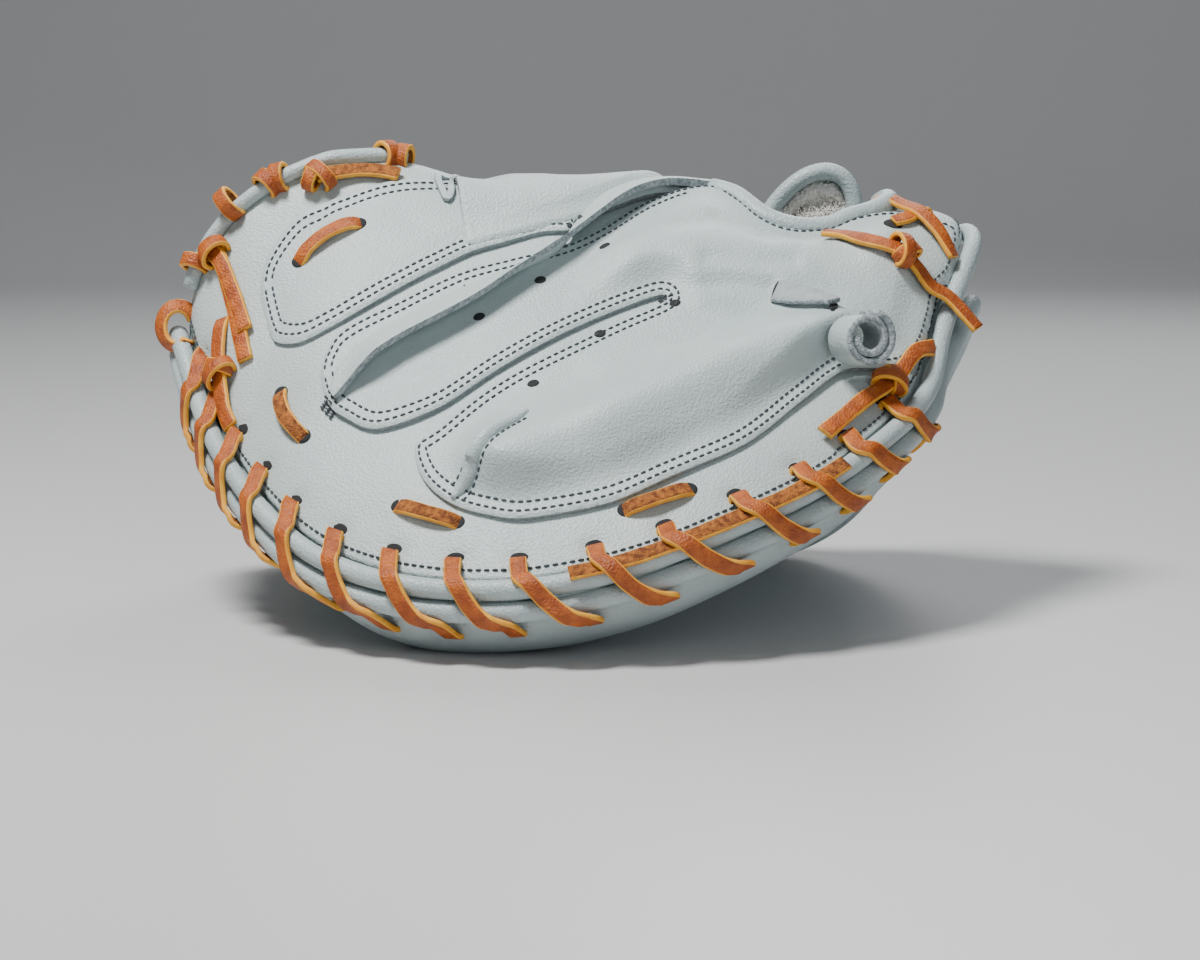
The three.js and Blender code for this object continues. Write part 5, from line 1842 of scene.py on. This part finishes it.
@dataclass
class Wrist:
    """The wrist opening: its rolled binding, the arched strap behind it and the fleece inside."""

    studio: Studio
    stitching: Stitching
    size: ArchSize = field(default_factory=ArchSize)

    def binding(self) -> None:
        """Padded roll along the opening's edge."""
        form = self.studio.form
        ring = even(np.array(WRIST, float), 1.2, True)
        middle = ring.mean(0)
        inward = unit(middle - ring)
        path, normals = form.height_map.point(ring + inward * 0.9, 0.9)
        ahead = heading(path, True)
        across = unit(np.cross(normals, ahead))
        swell = BINDING_RADIUS * (1 + 0.03 * ripple(path, 18, 44))
        points, faces = tube(path, across, np.cross(ahead, across), circles(1, 18, swell), True)
        self.studio.piece(
            "wrist_binding_roll", points, faces, (Finish.ROLL,), ("wrist_binding",), "roll_leather")

    def arch_points(self, y: Array, angle: Array, loss: float) -> Array:
        """Points of the arch.

        Args:
            y: depths, from its near edge to its far edge.
            angle: angles over the arch, from its left foot to its right foot.
            loss: distance inside its outer face.

        Returns:
            The points.
        """
        size = self.size
        base = self.studio.form.height_map.z(np.full(len(y), size.x), y) - 2
        fall = 1 - 0.5 * smooth(size.from_y, size.to_y, y)
        return np.column_stack([
            size.x - (size.half_width - loss) * np.cos(angle) + size.skew * fall * np.sin(angle), y,
            base + (size.height * fall + 2 - loss) * np.sin(angle) ** 0.9,
        ])

    def walls(self, start: float, end: float, low: float, high: float) -> tuple[Array, Array]:
        """Outer and inner face of an arched wall.

        Args:
            start: nearest depth.
            end: farthest depth.
            low: distance of its outer face inside the arch.
            high: distance of its inner face.

        Returns:
            Points of both faces, row by row.
        """
        size = self.size
        y, angle = crossed(
            np.linspace(start, end, size.rows), np.linspace(0.06, math.pi - 0.06, size.columns))
        return self.arch_points(y, angle, low), self.arch_points(y, angle, high)

    def slab(self, name: str, walls: tuple[Array, Array], finish: Finish, node: str, slot: str) -> None:
        """Write an arched wall from its two faces."""
        faces = slab_faces(self.size.rows, self.size.columns)
        self.studio.piece(name, np.vstack(walls), faces, (finish,), (node,), slot)

    def strap(self) -> None:
        """The arched strap itself."""
        size = self.size
        walls = self.walls(size.from_y, size.to_y, 0, size.thick)
        self.slab("thumb_strap_leather", walls, Finish.BACK, "thumb_strap", "back_leather")

    def lining(self) -> None:
        """Lumpy fleece inside the arch, coming down to the back behind it."""
        size = self.size
        start, end = size.from_y + 1, size.to_y - 8
        outer, inner = self.walls(start, end, size.thick + 0.1, size.thick + 2.9)
        floor = self.studio.form.height_map.z(inner[:, 0], inner[:, 1]) + 1
        closed = smooth(start + 2, end - 8, inner[:, 1])
        inner[:, 2] = lerp(inner[:, 2], np.minimum(floor, inner[:, 2]), closed)
        lumps = 0.6 + 0.5 * ripple(inner, 4.5, 51) + 0.35 * ripple(inner, 1.8, 52)
        inner[:, 2] -= FLEECE_LUMPS * lumps
        self.slab("fleece_lining", (outer, inner), Finish.WOOL, "wool_lining", "wool")

    def edge_roll(self) -> None:
        """Rolled front edge of the arch."""
        angles = np.linspace(0.02, math.pi - 0.02, 60)
        path = self.arch_points(np.full(60, self.size.from_y - 0.5), angles, 1.4)
        across = np.tile((0.0, 1.0, 0.0), (len(path), 1))
        up = unit(np.cross(heading(path), across))
        points, faces = tube(path, across, up, circle(EDGE_RADIUS, 14), False)
        self.studio.piece("thumb_strap_edge", points, faces, (Finish.ROLL,))

    def mound(self) -> Array:
        """Fleece that swells up inside the arch, behind the binding.

        Returns:
            Points of its upper face.
        """
        size = self.size
        rows, columns = 40, 60
        share, angle = crossed(np.linspace(0, 1, rows), np.linspace(0.05, math.pi - 0.05, columns))
        depth = size.from_y - MOUND_FROM + MOUND_SPAN * share
        upper = self.arch_points(np.maximum(depth, size.from_y), angle, size.thick + 2.5)
        upper[:, 1] = depth
        floor = self.studio.form.height_map.z(np.array([size.x]), np.array([size.from_y])) - 4
        upper[:, 2] = lerp(floor, upper[:, 2], 0.8 * np.sqrt(np.sin(share * math.pi / 2)))
        upper[:, 2] += 0.9 * ripple(upper, 5, 61) + 0.5 * ripple(upper, 2.2, 62)
        self.studio.piece(
            "fleece_mound", np.vstack([upper, upper - np.array([0, 0, 4.0])]), slab_faces(rows, columns),
            (Finish.WOOL,), (), "wool",
        )
        return upper

    def strands(self, surface: Array) -> None:
        """Short curled strands of fleece."""
        source = np.random.default_rng(SEED)
        data = MeshData()
        share = np.linspace(0, 1, 5)
        for spot in surface[source.integers(0, len(surface), STRANDS)]:
            lean = source.normal(size=3) * (1, 1, 0.6) + (0, -0.6, 0.6)
            curl = source.normal(size=3) * 0.9
            path = spot + np.outer(share * STRAND_LENGTH, unit(lean)) + np.outer(share ** 2 * 1.2, curl)
            ahead = heading(path)
            across = unit(np.cross(ahead, (0.3, 0.5, 0.8)))
            shape = circles(1, 3, np.linspace(*STRAND_RADII, len(share)))
            data.add(*tube(path, across, np.cross(ahead, across), shape, False))
        self.studio.piece("fleece_strands", data.all_points(), data.faces, (Finish.WOOL,))

    def build(self) -> None:
        """Make the binding, the arch and the fleece."""
        self.binding()
        self.strap()
        self.edge_roll()
        self.lining()
        self.strands(self.mound())
        angle = np.linspace(2.0, math.pi - 0.1, 20)
        line = self.arch_points(np.full(20, self.size.from_y + 5), angle, -0.05)
        self.stitching.row(line, oval_points(angle, (-1, 0, 0), (0, 0, 1)))


TAB_LINE: Lay = (
    (-42.5, 13.5, 0.2), (-46, 11.5, 0.7), (-49, 8, 0.8), (-47.5, 4, 0.9), (-45.2, -0.5, 1.1),
    (-44, 3, 1.1), (-43.6, 8, 0.8), (-42.5, 12.5, 0.2),
)
# vents and slit, drawn as dark ovals of painted shade
VENTS: Plan = ((9.5, -17), (-12, -29.5), (-32, -41), (-13.5, -66), (8, -49.5), (33, -38.5))
VENT_SIZE = (2.1, 1.7)
SLIT = (-38.0, -31.5)
SLIT_SIZE = (2.4, 0.8)
TAB_BAND = (2.6, 1.3, 0.6)      # width, thickness and step of the tab's leather
BAR_TACKS = (((-83, -54), (-78.5, -59.5)), ((-3, -9), (2, -6.5)), ((28, -36.5), (32, -33)))
TACK_ROWS = 4
TACK_PITCH = 0.75


@dataclass
class Details:
    """Vents, bar tacks and the tab at the hood's open end."""

    studio: Studio
    top: TopFace
    holes: PaintedHoleShade
    stitching: Stitching

    def vents(self) -> None:
        """Small round vents and one slit, as dark ovals of painted shade."""
        spots, normals = self.top.point(np.array(VENTS, float), 0.0)
        for spot, normal in zip(spots, normals):
            self.holes.oval(spot, normal, np.array([1.0, 0.3, 0.4]), *VENT_SIZE)
        slit, facing = self.top.point(np.array([SLIT]), 0.0)
        self.holes.oval(slit[0], facing[0], np.array([1.0, 0.3, 0.5]), *SLIT_SIZE)

    def bar_tack(self, first: tuple[float, float], last: tuple[float, float]) -> None:
        """Dense short rows of thread between two plan points."""
        start, end = np.array(first, float), np.array(last, float)
        side = unit(np.array([-(end - start)[1], (end - start)[0]]))
        for k in range(TACK_ROWS):
            line = np.linspace(start, end, 8) + side * (k - TACK_ROWS / 2) * TACK_PITCH
            self.stitching.row(*self.top.point(line, 0.15))

    def tab(self) -> None:
        """Folded tab beside the hood's open end."""
        rows = np.array(TAB_LINE, float)
        points, normals = self.top.point(rows[:, :2], rows[:, 2])
        band = Band(
            self.studio, "hood_tab", (), (Finish.BACK, Finish.SUEDE, Finish.FLAP_EDGE), "back_leather",
        )
        band.over(points, normals, *TAB_BAND)
        band.finish()

    def build(self) -> None:
        """Make every small detail."""
        self.vents()
        self.tab()
        for first, last in BAR_TACKS:
            self.bar_tack(first, last)


class LightRow(NamedTuple):
    """A soft square light: its place in metres, its size, its power and its tint."""

    name: str
    place: tuple[float, float, float]
    size: float
    power: float
    tint: tuple[float, float, float]


LIGHTS = (
    LightRow("key", (-0.35, -0.28, 1.1), 0.3, 21, (1.0, 0.98, 0.95)),
    LightRow("fill", (0.5, -1.4, 0.6), 0.8, 4, (0.93, 0.96, 1.0)),
    LightRow("back_light", (0.3, 1.0, 0.9), 0.7, 7, (1.0, 1.0, 1.0)),
)
LIGHT_AIM = (0.0, 0.0, 0.07)
WORLD_TINT = (0.85, 0.88, 0.92, 1.0)
WORLD_STRENGTH = 0.16


@dataclass
class Camera:
    """The photograph's camera and its plain studio."""

    studio: Studio

    POSITION = (8.0, -983.4, 180.3)
    PITCH = 8.06
    FOCAL = 85.0
    SENSOR = 36.0

    def build(self) -> None:
        """Make the camera at the photograph's place."""
        data = bpy.data.cameras.new("camera")
        data.lens = self.FOCAL
        data.sensor_width = self.SENSOR
        data.clip_start, data.clip_end = 0.01, 20
        made = linked("camera", data)
        made.location = Vector((np.array(self.POSITION) + self.studio.shift) * MM)
        made.rotation_euler = (math.radians(90 - self.PITCH), 0, 0)
        bpy.context.scene.camera = made

    def floor(self) -> None:
        """Lay the pale floor, rising behind the mitt."""
        radius, front, back, half_width, height = 0.7, -3.0, 2.2, 4.0, 3.0
        profile = [(front, 0.0), (back - radius, 0.0)]
        profile += [
            (back - radius + radius * math.sin(a), radius - radius * math.cos(a))
            for a in np.radians(np.linspace(6, 90, 15))
        ]
        profile.append((back, height))
        points = [(x, y, z) for y, z in profile for x in (-half_width, half_width)]
        mesh = bpy.data.meshes.new("floor")
        mesh.from_pydata(points, [], grid_faces(len(profile), 2))
        mesh.materials.append(self.studio.materials[Finish.FLOOR])
        mesh.polygons.foreach_set("use_smooth", [True] * len(mesh.polygons))
        linked("floor", mesh)

    def lights(self) -> None:
        """Light the mitt from above and the left, with soft fill."""
        for row in LIGHTS:
            data = bpy.data.lights.new(row.name, "AREA")
            data.size = row.size
            data.energy = row.power
            data.color = row.tint
            made = linked(row.name, data)
            made.location = row.place
            aim = Vector(LIGHT_AIM) - Vector(row.place)
            made.rotation_euler = aim.to_track_quat("-Z", "Y").to_euler()
        world = bpy.data.worlds.new("world")
        world.use_nodes = True
        background = world.node_tree.nodes["Background"]
        background.inputs["Color"].default_value = WORLD_TINT
        background.inputs["Strength"].default_value = WORLD_STRENGTH
        bpy.context.scene.world = world


def main() -> None:
    """Build every sub-assembly in order."""
    logging.basicConfig(level=logging.INFO)
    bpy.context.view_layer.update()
    studio = Studio(MittForm(), shift_of_frame())
    camera = Camera(studio)
    camera.build()
    stitching = Stitching(studio)
    rim = Rim(studio, stitching)
    near_tops, near_bottoms = rim.holes(NEAR_HOLES)
    far_tops, far_bottoms = rim.holes(FAR_HOLES)
    shell = Shell(studio)
    shell.build_back(np.vstack([near_tops, far_tops]))
    shell.build_palm(np.vstack([near_bottoms, far_bottoms]))
    rim.build_rolls()
    rim.build_lacing()
    rim.build_tucked()
    # painted shade of every hole, vent and slot, gathered into one piece
    holes = PaintedHoleShade(studio)
    rim.mark_holes(holes)
    top = Back(studio, stitching).build()
    Laces(studio, top, holes).build()
    Web(studio).build()
    Straps(studio, top, holes, stitching).build()
    Wrist(studio, stitching).build()
    Details(studio, top, holes, stitching).build()
    holes.finish()
    stitching.finish()
    camera.floor()
    camera.lights()


if __name__ == "__main__":
    main()
